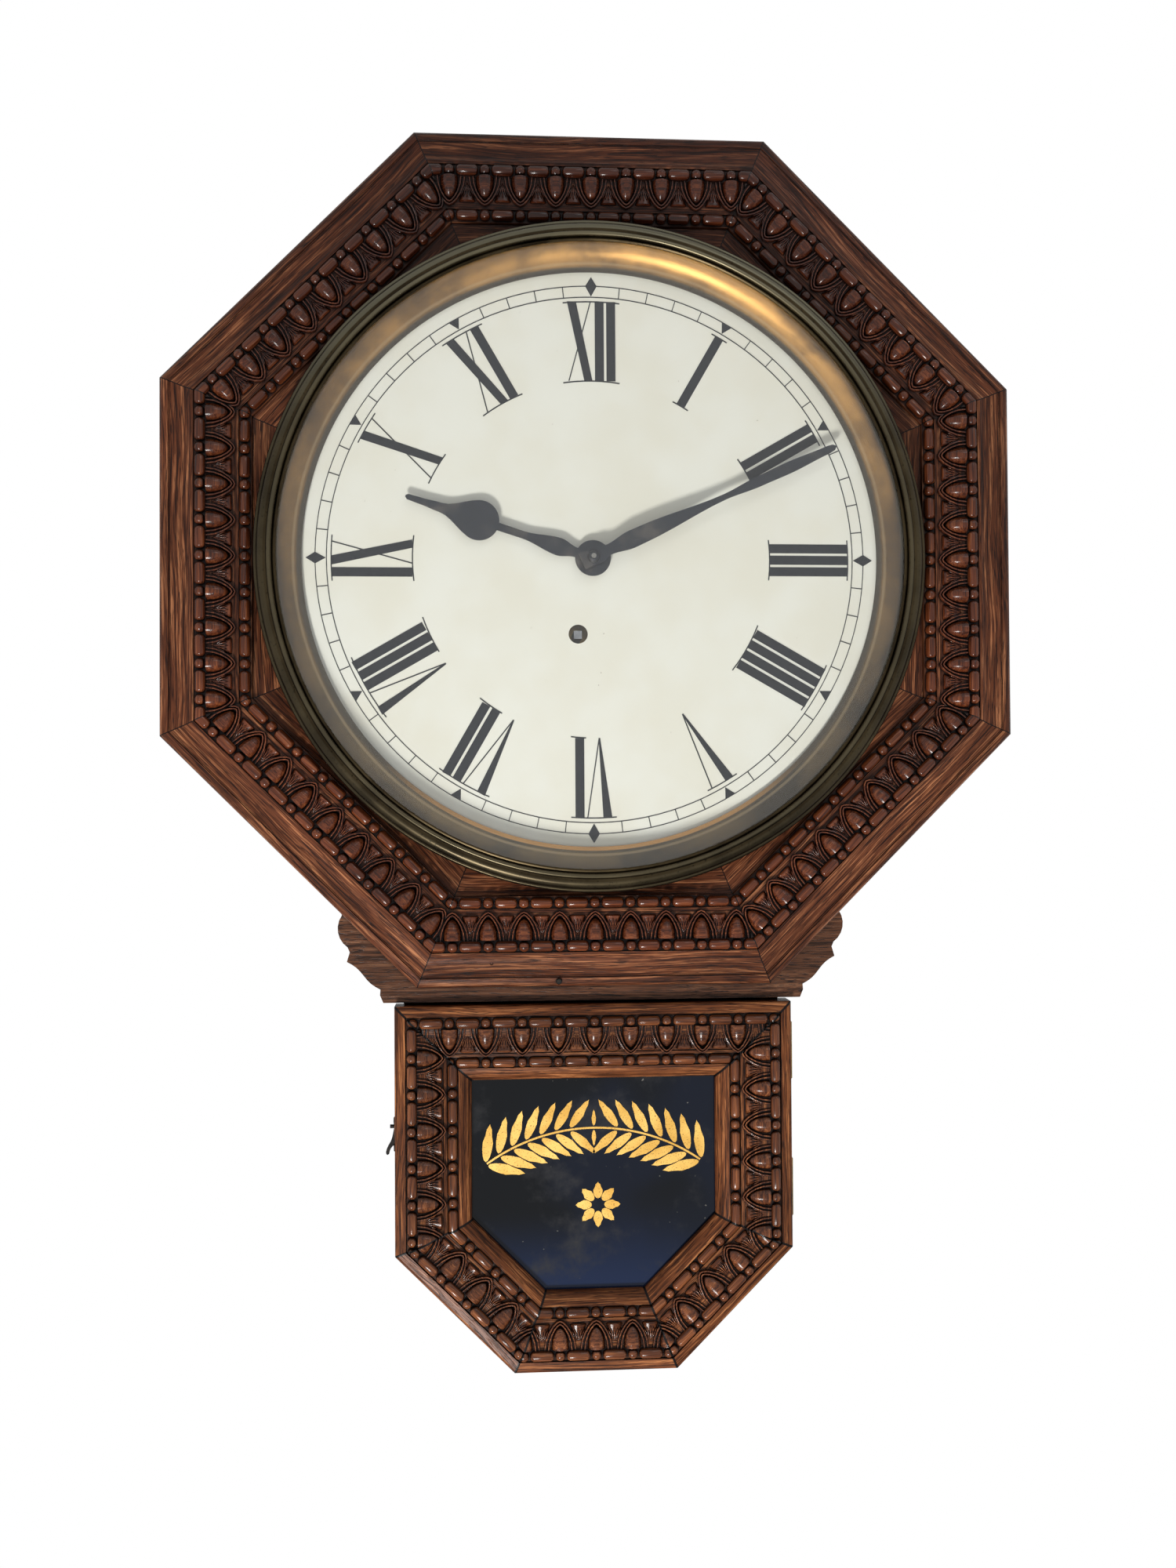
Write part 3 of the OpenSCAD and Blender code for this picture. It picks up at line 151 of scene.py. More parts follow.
def finish_edit(outward=False):
    if outward:
        bpy.ops.mesh.select_all(action="SELECT")
        bpy.ops.mesh.normals_make_consistent(inside=False)
    bpy.ops.object.mode_set(mode="OBJECT")


def pick(test):
    """Selects the vertices whose place passes the test, in the piece that is being edited."""
    mesh = bmesh.from_edit_mesh(bpy.context.edit_object.data)
    bpy.ops.mesh.select_all(action="DESELECT")
    for vertex in mesh.verts:
        vertex.select_set(test(vertex.co))
    mesh.select_flush(True)
    bmesh.update_edit_mesh(bpy.context.edit_object.data)


def draw(name, points, closed):
    """Draws a line from point to point by extruding one vertex, and leaves it open for editing."""
    bpy.ops.object.select_all(action="DESELECT")
    bpy.ops.mesh.primitive_plane_add(size=MM)
    piece = named(name)
    edit(piece)
    bpy.ops.mesh.merge(type="CENTER")
    bpy.ops.transform.translate(value=points[0])
    path = points[1:] + points[:1] if closed else points[1:]
    at = points[0]
    for point in path:
        bpy.ops.mesh.extrude_region_move(TRANSFORM_OT_translate={"value": point - at})
        at = point
    bpy.ops.mesh.select_all(action="SELECT")
    if closed:
        bpy.ops.mesh.remove_doubles(threshold=0.01 * MM)
    return piece


def cut(place, normal):
    """Cuts off what lies in front of a plane and closes the cut."""
    bpy.ops.mesh.select_all(action="SELECT")
    bpy.ops.mesh.bisect(plane_co=place, plane_no=normal, clear_outer=True, use_fill=True)


def join(pieces, name):
    bpy.ops.object.select_all(action="DESELECT")
    for piece in pieces:
        piece.select_set(True)
    bpy.context.view_layer.objects.active = pieces[0]
    bpy.ops.object.join()
    pieces[0].name = name
    pieces[0].data.name = name
    return pieces[0]


def copy(piece, name):
    twin = piece.copy()
    twin.data = piece.data.copy()
    twin.name = name
    twin.data.name = name
    bpy.context.scene.collection.objects.link(twin)
    return twin


def settle(piece, matrix):
    """Puts a piece where a matrix says, with its place in its mesh."""
    piece.matrix_world = matrix
    alone(piece)
    bpy.ops.object.transform_apply(location=True, rotation=True, scale=True)


def smooth(piece, degrees=35):
    alone(piece)
    bpy.ops.object.shade_smooth_by_angle(angle=math.radians(degrees))


def apply_modifiers(piece):
    alone(piece)
    for modifier in list(piece.modifiers):
        bpy.ops.object.modifier_apply(modifier=modifier.name)


def wear(piece, material, body, replaced=()):
    """Gives a finished piece its material, its body and the nodes that it stands for."""
    if material:
        piece.data.materials.append(material)
    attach(piece, body)
    if replaced:
        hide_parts(*replaced)


# The carved row of one unit: an egg with its two rims, a dart, and a bead and a barrel on both sides
class Row:
    """One carved unit, in millimetres: its pitch along, where the outer beads, the egg's two ends and
    the inner beads lie across, the egg's half width, the tops of egg and beads, and the beads' radius."""

    def __init__(self, pitch, outer, egg, inner, egg_half, crest, outer_top, inner_top, bead):
        self.pitch, self.outer, self.egg, self.inner = pitch, outer, egg, inner
        self.egg_half, self.crest = egg_half, crest
        self.outer_top, self.inner_top, self.bead = outer_top, inner_top, bead


HEAD_ROW = Row(18.4, 21.2, (24.5, 36.2), 43.3, 5.1, 19.4, 19.2, 16.1, 2.9)
DOOR_ROW = Row(18.9, 8.9, (11.9, 23.8), 29.8, 5.1, 18.2, 18.6, 15.6, 2.7)
HEAD_UNITS = 11
EGG_FLOOR = 12.5
EGG_SHARE = 0.94
RIM_HALF = 0.6
RIM_UPRIGHT = 2.4
RIM_POINT = 0.45
BELL_RADII = (4.6, 1.5)
BELL_FLATNESS = 0.62
DART_BACK = 0.6


def carve_egg(row):
    """The egg: blunt where it meets the outer beads, drawn to a tip inwards, and cut at its ground."""
    start, tip = row.egg
    length = (tip - start) * EGG_SHARE
    rise = row.crest - EGG_FLOOR
    bpy.ops.mesh.primitive_uv_sphere_add(
        segments=16, ring_count=12, radius=MM, location=(0, (tip - length) * MM, EGG_FLOOR * MM),
        scale=(row.egg_half, length, rise))
    egg = named("egg")
    edit(egg)
    pick(lambda co: co.y > (tip - length * 0.5) * MM)
    bpy.ops.transform.resize(value=(0.94, 1, 0.96))
    cut((0, 0, EGG_FLOOR * MM), (0, 0, -1))
    cut((0, start * MM, 0), (0, -1, 0))
    finish_edit(outward=True)
    return egg


def carve_rim(row, half, tip, height):
    """A thin upright rim that runs round the egg and comes to a point below it."""
    start = row.egg[0] - 0.4
    bpy.ops.curve.primitive_bezier_circle_add(radius=MM, location=(0, start * MM, 0))
    bpy.context.object.scale = (half, tip - start, 1)
    rim = named("rim")
    points = rim.data.splines[0].bezier_points
    for point in points:  # settling the scale has changed their radius
        point.radius = 1
    peak = max(points, key=lambda point: point.co.y)
    peak.handle_left_type = peak.handle_right_type = "FREE"
    peak.handle_left = peak.co.lerp(peak.handle_left, RIM_POINT)
    peak.handle_right = peak.co.lerp(peak.handle_right, RIM_POINT)
    rim.data.resolution_u = 5
    rim.data.bevel_depth = RIM_HALF * MM
    rim.data.bevel_resolution = 1
    rim.data.fill_mode = "FULL"
    alone(rim)
    bpy.ops.object.convert(target="MESH")
    rim = bpy.context.object
    edit(rim)
    bpy.ops.transform.resize(value=(1, 1, RIM_UPRIGHT))
    bpy.ops.transform.translate(value=(0, 0, height * MM))
    cut((0, start * MM, 0), (0, -1, 0))
    pick(lambda co: co.y > (tip - 6) * MM)
    bpy.ops.transform.translate(value=(0, 0, -0.5 * MM))
    finish_edit(outward=True)
    return rim


def carve_dart(row):
    """The dart between two eggs: a bell that flares away from the outer beads, with flutes on its neck."""
    start, tip = row.egg
    middle = row.pitch / 2
    length = tip - start - DART_BACK
    centre = start + length / 2 + DART_BACK
    wide, narrow = BELL_RADII
    bpy.ops.object.select_all(action="DESELECT")
    bpy.ops.mesh.primitive_cone_add(
        vertices=14, radius1=wide * MM, radius2=narrow * MM, depth=length * MM,
        location=(middle * MM, centre * MM, EGG_FLOOR * MM), rotation=(math.radians(90), 0, 0))
    bell = named("bell")
    edit(bell)
    bpy.ops.transform.resize(value=(1, 1, BELL_FLATNESS))
    pick(lambda co: co.y > (start + length) * MM)
    bpy.ops.mesh.inset(thickness=0.7 * MM)
    bpy.ops.transform.translate(value=(0, 0.6 * MM, 0))
    finish_edit(outward=True)
    flutes = [bell]
    for lean in (-2, -1, 0, 1, 2):
        reach = length / 2 - 0.7 * abs(lean)
        place = Vector((middle + 0.95 * lean, centre, 14.2 - 0.25 * abs(lean))) * MM
        bpy.ops.mesh.primitive_uv_sphere_add(
            segments=8, ring_count=6, radius=MM, location=place, scale=(0.55, reach, 1.1),
            rotation=(math.radians(7), 0, math.radians(-12 * lean)))
        flutes.append(named("flute"))
    return join(flutes, "dart")


def carve_bead(row, across, top):
    bpy.ops.mesh.primitive_uv_sphere_add(
        segments=12, ring_count=8, radius=row.bead * MM, location=(0, across * MM, (top - row.bead) * MM),
        rotation=(0, math.radians(90), 0))
    return named("bead")


def carve_barrel(row, across, top):
    """A barrel with rounded ends, and a thin collar at each end beside the bead."""
    middle = row.pitch / 2 * MM
    radius = row.bead * 0.97 * MM
    length = (row.pitch - 2 * row.bead - 4.6) * MM
    bpy.ops.mesh.primitive_cylinder_add(
        vertices=12, radius=radius, depth=length, location=(middle, across * MM, top * MM - radius),
        rotation=(0, math.radians(90), 0))
    barrel = named("barrel")
    edit(barrel)
    for end in (-1, 1):
        pick(lambda co: (co.x - middle) * end > length * 0.45)
        for step, out in ((0.4, 0.9), (0.7, 0.6), (0.8, 0.3)):
            bpy.ops.mesh.inset(thickness=step * MM)
            bpy.ops.transform.translate(value=(out * MM * end, 0, 0))
    finish_edit(outward=True)
    return barrel


def carve_unit(row):
    pieces = [
        carve_egg(row),
        carve_rim(row, row.egg_half + 1.0, row.egg[1] + 1.0, 15.0),
        carve_rim(row, row.egg_half + 2.9, row.egg[1] + 2.4, 14.5),
        carve_dart(row),
        carve_bead(row, row.outer, row.outer_top),
        carve_barrel(row, row.outer, row.outer_top),
        carve_bead(row, row.inner, row.inner_top),
        carve_barrel(row, row.inner, row.inner_top),
    ]
    return join(pieces, "carved_unit")


def carve_run(unit, row, name, count):
    """Repeats the carved unit along a length, centred on its middle."""
    run = copy(unit, name)
    repeat = run.modifiers.new("repeat", "ARRAY")
    repeat.count = count
    repeat.use_relative_offset = False
    repeat.use_constant_offset = True
    repeat.constant_offset_displace = (row.pitch * MM, 0, 0)
    apply_modifiers(run)
    settle(run, Matrix.Translation((-(count - 1) / 2 * row.pitch * MM, 0, 0)))
    return run


def mould_length(name, section, length):
    """A plain length of moulding: its section drawn point by point, then drawn out along X."""
    points = [Vector((-length / 2, across * MM, rise * MM)) for across, rise in section]
    piece = draw(name, points, closed=True)
    bpy.ops.mesh.edge_face_add()
    bpy.ops.mesh.extrude_region_move(TRANSFORM_OT_translate={"value": (length, 0, 0)})
    finish_edit(outward=True)
    return piece


def edge_frame(corners, i, depth):
    """From a length's own axes, along, inward and forward, to the clock's."""
    start, end = corners[i], corners[(i + 1) % len(corners)]
    along = (end - start).normalized()
    middle = (start + end) / 2
    return Matrix((
        (along.x, -along.y, 0, middle.x),
        (0, 0, -1, -depth),
        (along.y, along.x, 0, middle.y),
        (0, 0, 0, 1),
    ))


def mitre_planes(corners, i):
    """The planes of a length's two mitres, each as a point and the way that it faces outward."""
    count = len(corners)
    ways = [(corners[(k + 1) % count] - corners[k % count]).normalized() for k in (i - 1, i, i + 1)]
    half = (corners[(i + 1) % count] - corners[i]).length / 2
    before, own, after = ways
    inward = Vector((-own.y, own.x))
    planes = []
    for other, end in ((before, -1), (after, 1)):
        normal = (own + other).normalized()
        facing = Vector((normal.dot(own), normal.dot(inward), 0)) * end
        planes.append((Vector((half * end, 0, 0)), facing))
    return planes


def mitre(piece, corners, i):
    """Cuts both ends of a length to the mitres with its neighbours."""
    edit(piece)
    for place, facing in mitre_planes(corners, i):
        cut(place, facing)
    finish_edit(outward=True)


def keep(piece, name, value_of):
    """Keeps a vector on each vertex, worked out from the vertex's place."""
    layer = piece.data.attributes.new(name, "FLOAT_VECTOR", "POINT")
    for item, vertex in zip(layer.data, piece.data.vertices):
        item.vector = value_of(vertex.co)


def mark_wood(piece, shift, planes):
    """Keeps each vertex's place in the wood for the grain, and how far it is from both mitres."""
    keep(piece, "grain", lambda co: co + shift)
    keep(piece, "seam", lambda co: (*[(place - co).dot(facing) for place, facing in planes], 0))


def head_staves(plain, carved):
    """Eight alike lengths of carved oak round the dial, one for each side of the octagon."""
    base = mould_length("stave", HEAD_SECTION, 2 * HEAD_SIDE + MITRE_SPARE)
    mitre(base, HEAD_CORNERS, 0)
    bpy.ops.object.select_all(action="DESELECT")
    bpy.ops.mesh.primitive_cylinder_add(
        vertices=160, radius=HEAD_BORE, depth=60 * MM, location=(0, HEAD_HALF, 0))
    bore = named("bore")
    opening = base.modifiers.new("opening", "BOOLEAN")
    opening.object = bore
    opening.solver = "EXACT"
    apply_modifiers(base)
    bpy.data.objects.remove(bore)
    unit = carve_unit(HEAD_ROW)
    run = carve_run(unit, HEAD_ROW, "carving", HEAD_UNITS)
    bpy.data.objects.remove(unit)
    mitre(run, HEAD_CORNERS, 0)
    base.data.materials.append(plain)
    run.data.materials.append(carved)
    model = join([base, run], "stave_model")
    smooth(model)
    for i, name in enumerate(HEAD_NAMES):
        stave = copy(model, f"carved_stave_{name}")
        mark_wood(stave, HEAD_GRAIN_STEP * i, mitre_planes(HEAD_CORNERS, i))
        settle(stave, edge_frame(HEAD_CORNERS, i, HEAD_BACK))
        wear(stave, None, "case", [f"head_stave_{name}"])
    bpy.data.objects.remove(model)


def door_frame(plain, carved):
    """The six carved lengths of the door's frame, cut to their mitres."""
    unit = carve_unit(DOOR_ROW)
    for i, name in enumerate(DOOR_NAMES):
        length = (DOOR_CORNERS[(i + 1) % len(DOOR_CORNERS)] - DOOR_CORNERS[i]).length
        count = 2 * math.ceil(length / DOOR_ROW.pitch / MM / 2) + 1
        base = mould_length("rail", DOOR_SECTION, length + MITRE_SPARE)
        mitre(base, DOOR_CORNERS, i)
        run = carve_run(unit, DOOR_ROW, "carving", count)
        mitre(run, DOOR_CORNERS, i)
        base.data.materials.append(plain)
        run.data.materials.append(carved)
        piece = join([base, run], f"carved_{name}")
        smooth(piece)
        mark_wood(piece, DOOR_GRAIN_STEP * (i + DOOR_GRAIN_START), mitre_planes(DOOR_CORNERS, i))
        settle(piece, edge_frame(DOOR_CORNERS, i, DOOR_BACK))
        wear(piece, None, "door", [f"door_{name}"])
    bpy.data.objects.remove(unit)


# Spun brass: a profile in radius and depth, turned round the hand arbor's axis
BEZEL_PROFILE = [
    (161.2, 116.1), (161.2, 117.0), (161.8, 117.5), (162.6, 117.3), (163.0, 117.0), (163.3, 117.7),
    (163.9, 118.5), (164.7, 118.9), (165.5, 118.6), (166.0, 117.9), (166.3, 117.2), (166.7, 117.1),
    (167.4, 117.4), (169.0, 117.0), (170.3, 116.2), (171.2, 115.1), (171.5, 114.5), (172.0, 114.6),
    (172.6, 114.3), (173.1, 113.6), (173.2, 112.9), (172.8, 112.3), (170.6, 112.1), (167.6, 111.6),
    (166.4, 110.2), (165.8, 108.6), (165.8, 100.5), (164.2, 100.5), (164.2, 116.1),
]
SIGHT_PROFILE = [
    (150.0, 101.9), (150.1, 102.4), (150.6, 102.5), (151.2, 102.3), (152.0, 102.7), (154.0, 103.2),
    (156.4, 104.2), (158.6, 105.6), (160.6, 107.5), (162.2, 109.8), (163.2, 112.0), (163.7, 113.9),
    (164.1, 113.9), (164.0, 111.8), (163.0, 109.2), (161.4, 106.8), (159.2, 104.6), (156.6, 103.1),
    (153.6, 102.2), (151.0, 101.4), (150.4, 101.1),
]
SPIN_STEPS = 180


def spun(name, profile):
    points = [Vector((radius * MM, -depth * MM, 0)) for radius, depth in profile]
    piece = draw(name, points, closed=True)
    bpy.ops.mesh.spin(steps=SPIN_STEPS, angle=math.tau, center=(0, 0, 0), axis=(0, 1, 0))
    bpy.ops.mesh.select_all(action="SELECT")
    bpy.ops.mesh.remove_doubles(threshold=0.005 * MM)
    finish_edit(outward=True)
    smooth(piece, 50)
    return piece


# Gilding on the tablet: a garland of leaves on an arc, and a rosette below it. Spread and gap are the
# degrees from the arc's top to its first and last pair of leaves.
GILT_LIFT = 0.12 * MM
GARLAND_MIDDLE = Vector((0, -0.3975))
GARLAND_RADIUS = 0.0985
GARLAND_SPREAD = 35
GARLAND_GAP = 7.2
GARLAND_PAIRS = 7
LEAF_LEAN = 48
STALK_STEP = 1.2 * MM
STEM_HALF = 0.5 * MM
ROSETTE_AT = Vector((0.002, -0.3395))
ROSETTE_PETALS = 8


def leaf_model(length, half):
    """A flat lancet leaf from its stalk at the origin, along +Z."""
    bpy.ops.object.select_all(action="DESELECT")
    bpy.ops.mesh.primitive_circle_add(
        vertices=16, radius=MM, fill_type="NGON", location=(0, -TABLET_FRONT, length / 2 * MM),
        rotation=(math.radians(90), 0, 0))
    bpy.context.object.scale = (half, length / 2, 1)
    leaf = named("leaf")
    edit(leaf)
    for share, squeeze in ((0.68, 0.7), (0.9, 0.3)):
        pick(lambda co: co.z > length * share * MM)
        bpy.ops.transform.resize(value=(squeeze, 1, 1))
    bpy.ops.mesh.select_all(action="SELECT")
    bpy.ops.mesh.extrude_region_move(TRANSFORM_OT_translate={"value": (0, -GILT_LIFT, 0)})
    finish_edit(outward=True)
    return leaf


def planted(model, at, degrees, size=1.0):
    """A copy of a leaf with its stalk at a point of the tablet, turned clockwise from upright."""
    twin = copy(model, "leaf_copy")
    turn = Matrix.Rotation(math.radians(degrees), 4, "Y")
    scale = Matrix.Diagonal((size, 1, size, 1))
    settle(twin, Matrix.Translation((at.x, 0, at.y)) @ turn @ scale)
    return twin


def stem_model():
    """The thin arc that the leaves grow from."""
    middle = Vector((GARLAND_MIDDLE.x, -TABLET_FRONT, GARLAND_MIDDLE.y))
    spread_angle = math.radians(GARLAND_SPREAD)
    way = Vector((-math.sin(spread_angle), 0, math.cos(spread_angle)))
    ends = [middle + way * (GARLAND_RADIUS + side * STEM_HALF) for side in (-1, 1)]
    piece = draw("stem", ends, closed=False)
    bpy.ops.mesh.spin(steps=24, angle=-2 * spread_angle, center=middle, axis=(0, 1, 0))
    bpy.ops.mesh.select_all(action="SELECT")
    bpy.ops.mesh.extrude_region_move(TRANSFORM_OT_translate={"value": (0, -GILT_LIFT, 0)})
    finish_edit(outward=True)
    return piece


def on_arc(middle, radius, degrees):
    """A point of the tablet on a circle, clockwise from its top."""
    angle = math.radians(degrees)
    return middle + radius * Vector((math.sin(angle), math.cos(angle)))


def garland(material):
    """Leaves in pairs on both sides of the stem, smaller towards the top, and two small ones there."""
    leaf = leaf_model(20, 2.7)
    leaves = []
    for side in (-1, 1):
        for k in range(GARLAND_PAIRS):
            bearing = side * (GARLAND_SPREAD - (GARLAND_SPREAD - GARLAND_GAP) * k / (GARLAND_PAIRS - 1))
            for way in (-1, 1):
                at = on_arc(GARLAND_MIDDLE, GARLAND_RADIUS - side * way * STALK_STEP, bearing)
                leaves.append(planted(leaf, at, bearing - side * 90 - way * LEAF_LEAN, 1 - 0.02 * k))
    for way, turn in ((1, 0), (-1, 180)):
        at = on_arc(GARLAND_MIDDLE, GARLAND_RADIUS + way * STALK_STEP, 0)
        leaves.append(planted(leaf, at, turn, 0.42))
    piece = join([*leaves, stem_model()], "gilt_garland")
    bpy.data.objects.remove(leaf)
    wear(piece, material, "door")


def rosette(material):
    leaf = leaf_model(8.6, 2.5)
    petals = []
    for k in range(ROSETTE_PETALS):
        turn = 360 / ROSETTE_PETALS * k
        petals.append(planted(leaf, on_arc(ROSETTE_AT, 3.3 * MM, turn), turn))
    piece = join(petals, "gilt_rosette")
    bpy.data.objects.remove(leaf)
    wear(piece, material, "door")


# Side hook and its screw, and the nails that hold the staves. The shank is in millimetres outward and
# up from the screw. A nail has its place across and up in metres, and its radius in millimetres.
HOOK_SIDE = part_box("door_hook")[1].x
HOOK_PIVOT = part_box("hook_pivot")
HOOK_SHANK = [
    (0, 1.5), (-0.4, 1.5), (-0.4, -2.6), (-0.9, -4.0), (-1.3, -6.0), (-1.9, -8.8), (-2.8, -11.2),
    (-4.0, -13.2), (-4.9, -15.2), (-5.2, -16.6), (-4.9, -17.6), (-4.2, -17.9), (-3.5, -17.4),
    (-3.2, -16), (-2.5, -14.4), (-1.5, -13.2), (0, -12.6),
]
HOOK_WIDTH = 2.4 * MM
CATCH_DROP = 14 * MM
NAILS = [((-0.0189, -0.2194), 1.5), ((-0.0536, -0.2097), 0.8)]
NAIL_FACE = -HEAD_BACK - 13.9 * MM


def disc(name, radius, low, high, place):
    """A turned disc whose axis lies along X, from low to high, with the edge of its low end eased."""
    bpy.ops.object.select_all(action="DESELECT")
    bpy.ops.mesh.primitive_cylinder_add(
        vertices=32, radius=radius * MM, depth=high - low, location=((low + high) / 2, place[0], place[1]),
        rotation=(0, math.radians(90), 0))
    piece = named(name)
    edit(piece)
    pick(lambda co: co.x < (low + high) / 2)
    bpy.ops.mesh.inset(thickness=0.3 * MM)
    bpy.ops.transform.translate(value=(-0.3 * MM, 0, 0))
    finish_edit(outward=True)
    return piece


def side_hook(material):
    """A flat iron hook: an eye on the screw, and a shank whose end curls away from the door."""
    pivot = (HOOK_PIVOT[0] + HOOK_PIVOT[1]) / 2
    front = pivot.y - HOOK_WIDTH / 2
    points = [Vector((HOOK_SIDE + x * MM, front, pivot.z + z * MM)) for x, z in HOOK_SHANK]
    shank = draw("shank", points, closed=True)
    bpy.ops.mesh.edge_face_add()
    bpy.ops.mesh.extrude_region_move(TRANSFORM_OT_translate={"value": (0, HOOK_WIDTH, 0)})
    finish_edit(outward=True)
    eye = disc("eye", 2.5, HOOK_SIDE - 0.3 * MM, HOOK_SIDE, (pivot.y, pivot.z))
    catch = disc("catch", 2.4, HOOK_SIDE - 0.7 * MM, HOOK_SIDE, (pivot.y, pivot.z - CATCH_DROP))
    wear(join([shank, eye, catch], "curled_hook"), material, "hook", ["door_hook"])


def side_screw(material):
    """The screw that the hook hangs from, with a collar where it enters the case."""
    pivot = (HOOK_PIVOT[0] + HOOK_PIVOT[1]) / 2
    place = (pivot.y, pivot.z)
    case_side = HOOK_PIVOT[1].x
    head = disc("head", 2.0, HOOK_SIDE - 0.8 * MM, HOOK_SIDE - 0.5 * MM, place)
    screw = disc("screw", 1.2, HOOK_SIDE - 0.6 * MM, case_side - 0.4 * MM, place)
    collar = disc("collar", 2.4, case_side - 3.2 * MM, case_side - 0.2 * MM, place)
    wear(join([head, screw, collar], "hook_screw"), material, "case", ["hook_pivot"])


def nails(material):
    """Punched nail heads in the bottom stave."""
    heads = []
    for (x, z), radius in NAILS:
        bpy.ops.object.select_all(action="DESELECT")
        bpy.ops.mesh.primitive_cylinder_add(
            vertices=16, radius=radius * MM, depth=1.2 * MM, location=(x, NAIL_FACE, z),
            rotation=(math.radians(90), 0, 0))
        head = named("nail")
        edit(head)
        pick(lambda co: co.y < NAIL_FACE)
        bpy.ops.mesh.inset(thickness=0.25 * MM)
        bpy.ops.transform.translate(value=(0, 0.3 * MM, 0))
        finish_edit(outward=True)
        heads.append(head)
    wear(join(heads, "nail_heads"), material, "case")


# Materials: node trees put together from small steps
def put(tree, kind, inputs=None, **settings):
    """Adds a node, sets it, and links or fills its inputs."""
    node = tree.nodes.new(kind)
    for key, value in settings.items():
        setattr(node, key, value)
    for key, value in (inputs or {}).items():
        if isinstance(value, bpy.types.NodeSocket):
            tree.links.new(value, node.inputs[key])
        else:
            node.inputs[key].default_value = value
    return node


def stretch(tree, vector, scale):
    return put(tree, "ShaderNodeVectorMath", {0: vector, 1: scale}, operation="MULTIPLY").outputs[0]


def noise(tree, vector, scale=1.0, detail=3.0, rough=0.55):
    inputs = {"Vector": vector, "Scale": scale, "Detail": detail, "Roughness": rough}
    return put(tree, "ShaderNodeTexNoise", inputs).outputs[0]


def spread(tree, value, low, high, to_low=0.0, to_high=1.0):
    """Carries a value smoothly from one range to another, and falls where low is above high."""
    inputs = {"Value": value, "From Min": low, "From Max": high, "To Min": to_low, "To Max": to_high}
    return put(tree, "ShaderNodeMapRange", inputs, interpolation_type="SMOOTHSTEP").outputs[0]


def reckon(tree, operation, a, b):
    return put(tree, "ShaderNodeMath", {0: a, 1: b}, operation=operation).outputs[0]


def times(tree, a, b):
    return reckon(tree, "MULTIPLY", a, b)


def mixed(tree, factor, a, b, mode="MIX"):
    node = put(tree, "ShaderNodeMix", {0: factor, 6: a, 7: b}, data_type="RGBA", blend_type=mode)
    return node.outputs[2]


def object_place(tree):
    return put(tree, "ShaderNodeTexCoord").outputs["Object"]


def along(tree, axis):
    """How far along one of the clock's axes a point lies, in metres."""
    return put(tree, "ShaderNodeSeparateXYZ", {0: object_place(tree)}).outputs[axis]


def new_group(name, ins, outs):
    """A node group with named inputs and outputs."""
    group = bpy.data.node_groups.new(name, "ShaderNodeTree")
    for label, kind in ins:
        group.interface.new_socket(label, in_out="INPUT", socket_type=kind)
    for label, kind in outs:
        group.interface.new_socket(label, in_out="OUTPUT", socket_type=kind)
    return group, group.nodes.new("NodeGroupInput").outputs, group.nodes.new("NodeGroupOutput")


def oak_group():
    """Open-grained oak: long streaks, fine lines, dark pores and slow shading, along the vector's X."""
    ins = [("Grain", "NodeSocketVector"), ("Dark", "NodeSocketColor"), ("Middle", "NodeSocketColor"),
           ("Light", "NodeSocketColor"), ("Pores", "NodeSocketFloat")]
    outs = [("Color", "NodeSocketColor"), ("Height", "NodeSocketFloat"), ("Roughness", "NodeSocketFloat")]
    group, given, out = new_group("oak_grain", ins, outs)
    wave = noise(group, stretch(group, given["Grain"], (9, 22, 22)), detail=1)
    shift = put(group, "ShaderNodeCombineXYZ", {1: times(group, wave, 0.012)}).outputs[0]
    place = put(group, "ShaderNodeVectorMath", {0: given["Grain"], 1: shift}, operation="ADD").outputs[0]
    broad = noise(group, stretch(group, place, (18, 620, 620)), detail=3)
    fine = noise(group, stretch(group, place, (50, 1900, 1900)), detail=2)
    slow = noise(group, stretch(group, place, (7, 24, 24)), detail=2)
    pore = noise(group, stretch(group, place, (110, 2600, 2600)), detail=1)
    both = reckon(group, "ADD", times(group, broad, 0.6), times(group, fine, 0.4))
    base = mixed(group, spread(group, both, 0.36, 0.52), given["Dark"], given["Middle"])
    base = mixed(group, spread(group, both, 0.5, 0.66), base, given["Light"])
    holes = times(group, spread(group, pore, 0.56, 0.66), given["Pores"])
    base = mixed(group, holes, base, srgb(18, 10, 9))
    shade = spread(group, slow, 0.3, 0.7, 0.72, 1.18)
    shaded = put(group, "ShaderNodeVectorMath", {0: base, "Scale": shade}, operation="SCALE").outputs[0]
    height = reckon(group, "SUBTRACT", both, times(group, holes, 0.7))
    group.links.new(shaded, out.inputs["Color"])
    group.links.new(height, out.inputs["Height"])
    group.links.new(spread(group, both, 0.3, 0.7, 0.4, 0.27), out.inputs["Roughness"])
    return group


def new_material(name, **values):
    """A material with its one Principled shader, given its plain values."""
    material = bpy.data.materials.new(name)
    material.use_nodes = True
    shader = material.node_tree.nodes["Principled BSDF"]
    for key, value in values.items():
        shader.inputs[key.replace("_", " ")].default_value = value
    return material, material.node_tree, shader


def painted_hollow_shade(tree, color, distance, dark, low=0.35, high=0.85):
    """Darkens a colour in the hollows with painted shade, which also stands for the stain and dirt that
    gather there.
    """
    # Ambient occlusion paints shade into the hollows.
    hollow = put(tree, "ShaderNodeAmbientOcclusion", {"Distance": distance}, samples=8)
    keep = spread(tree, hollow.outputs["AO"], low, high)
    return mixed(tree, keep, dark, color)


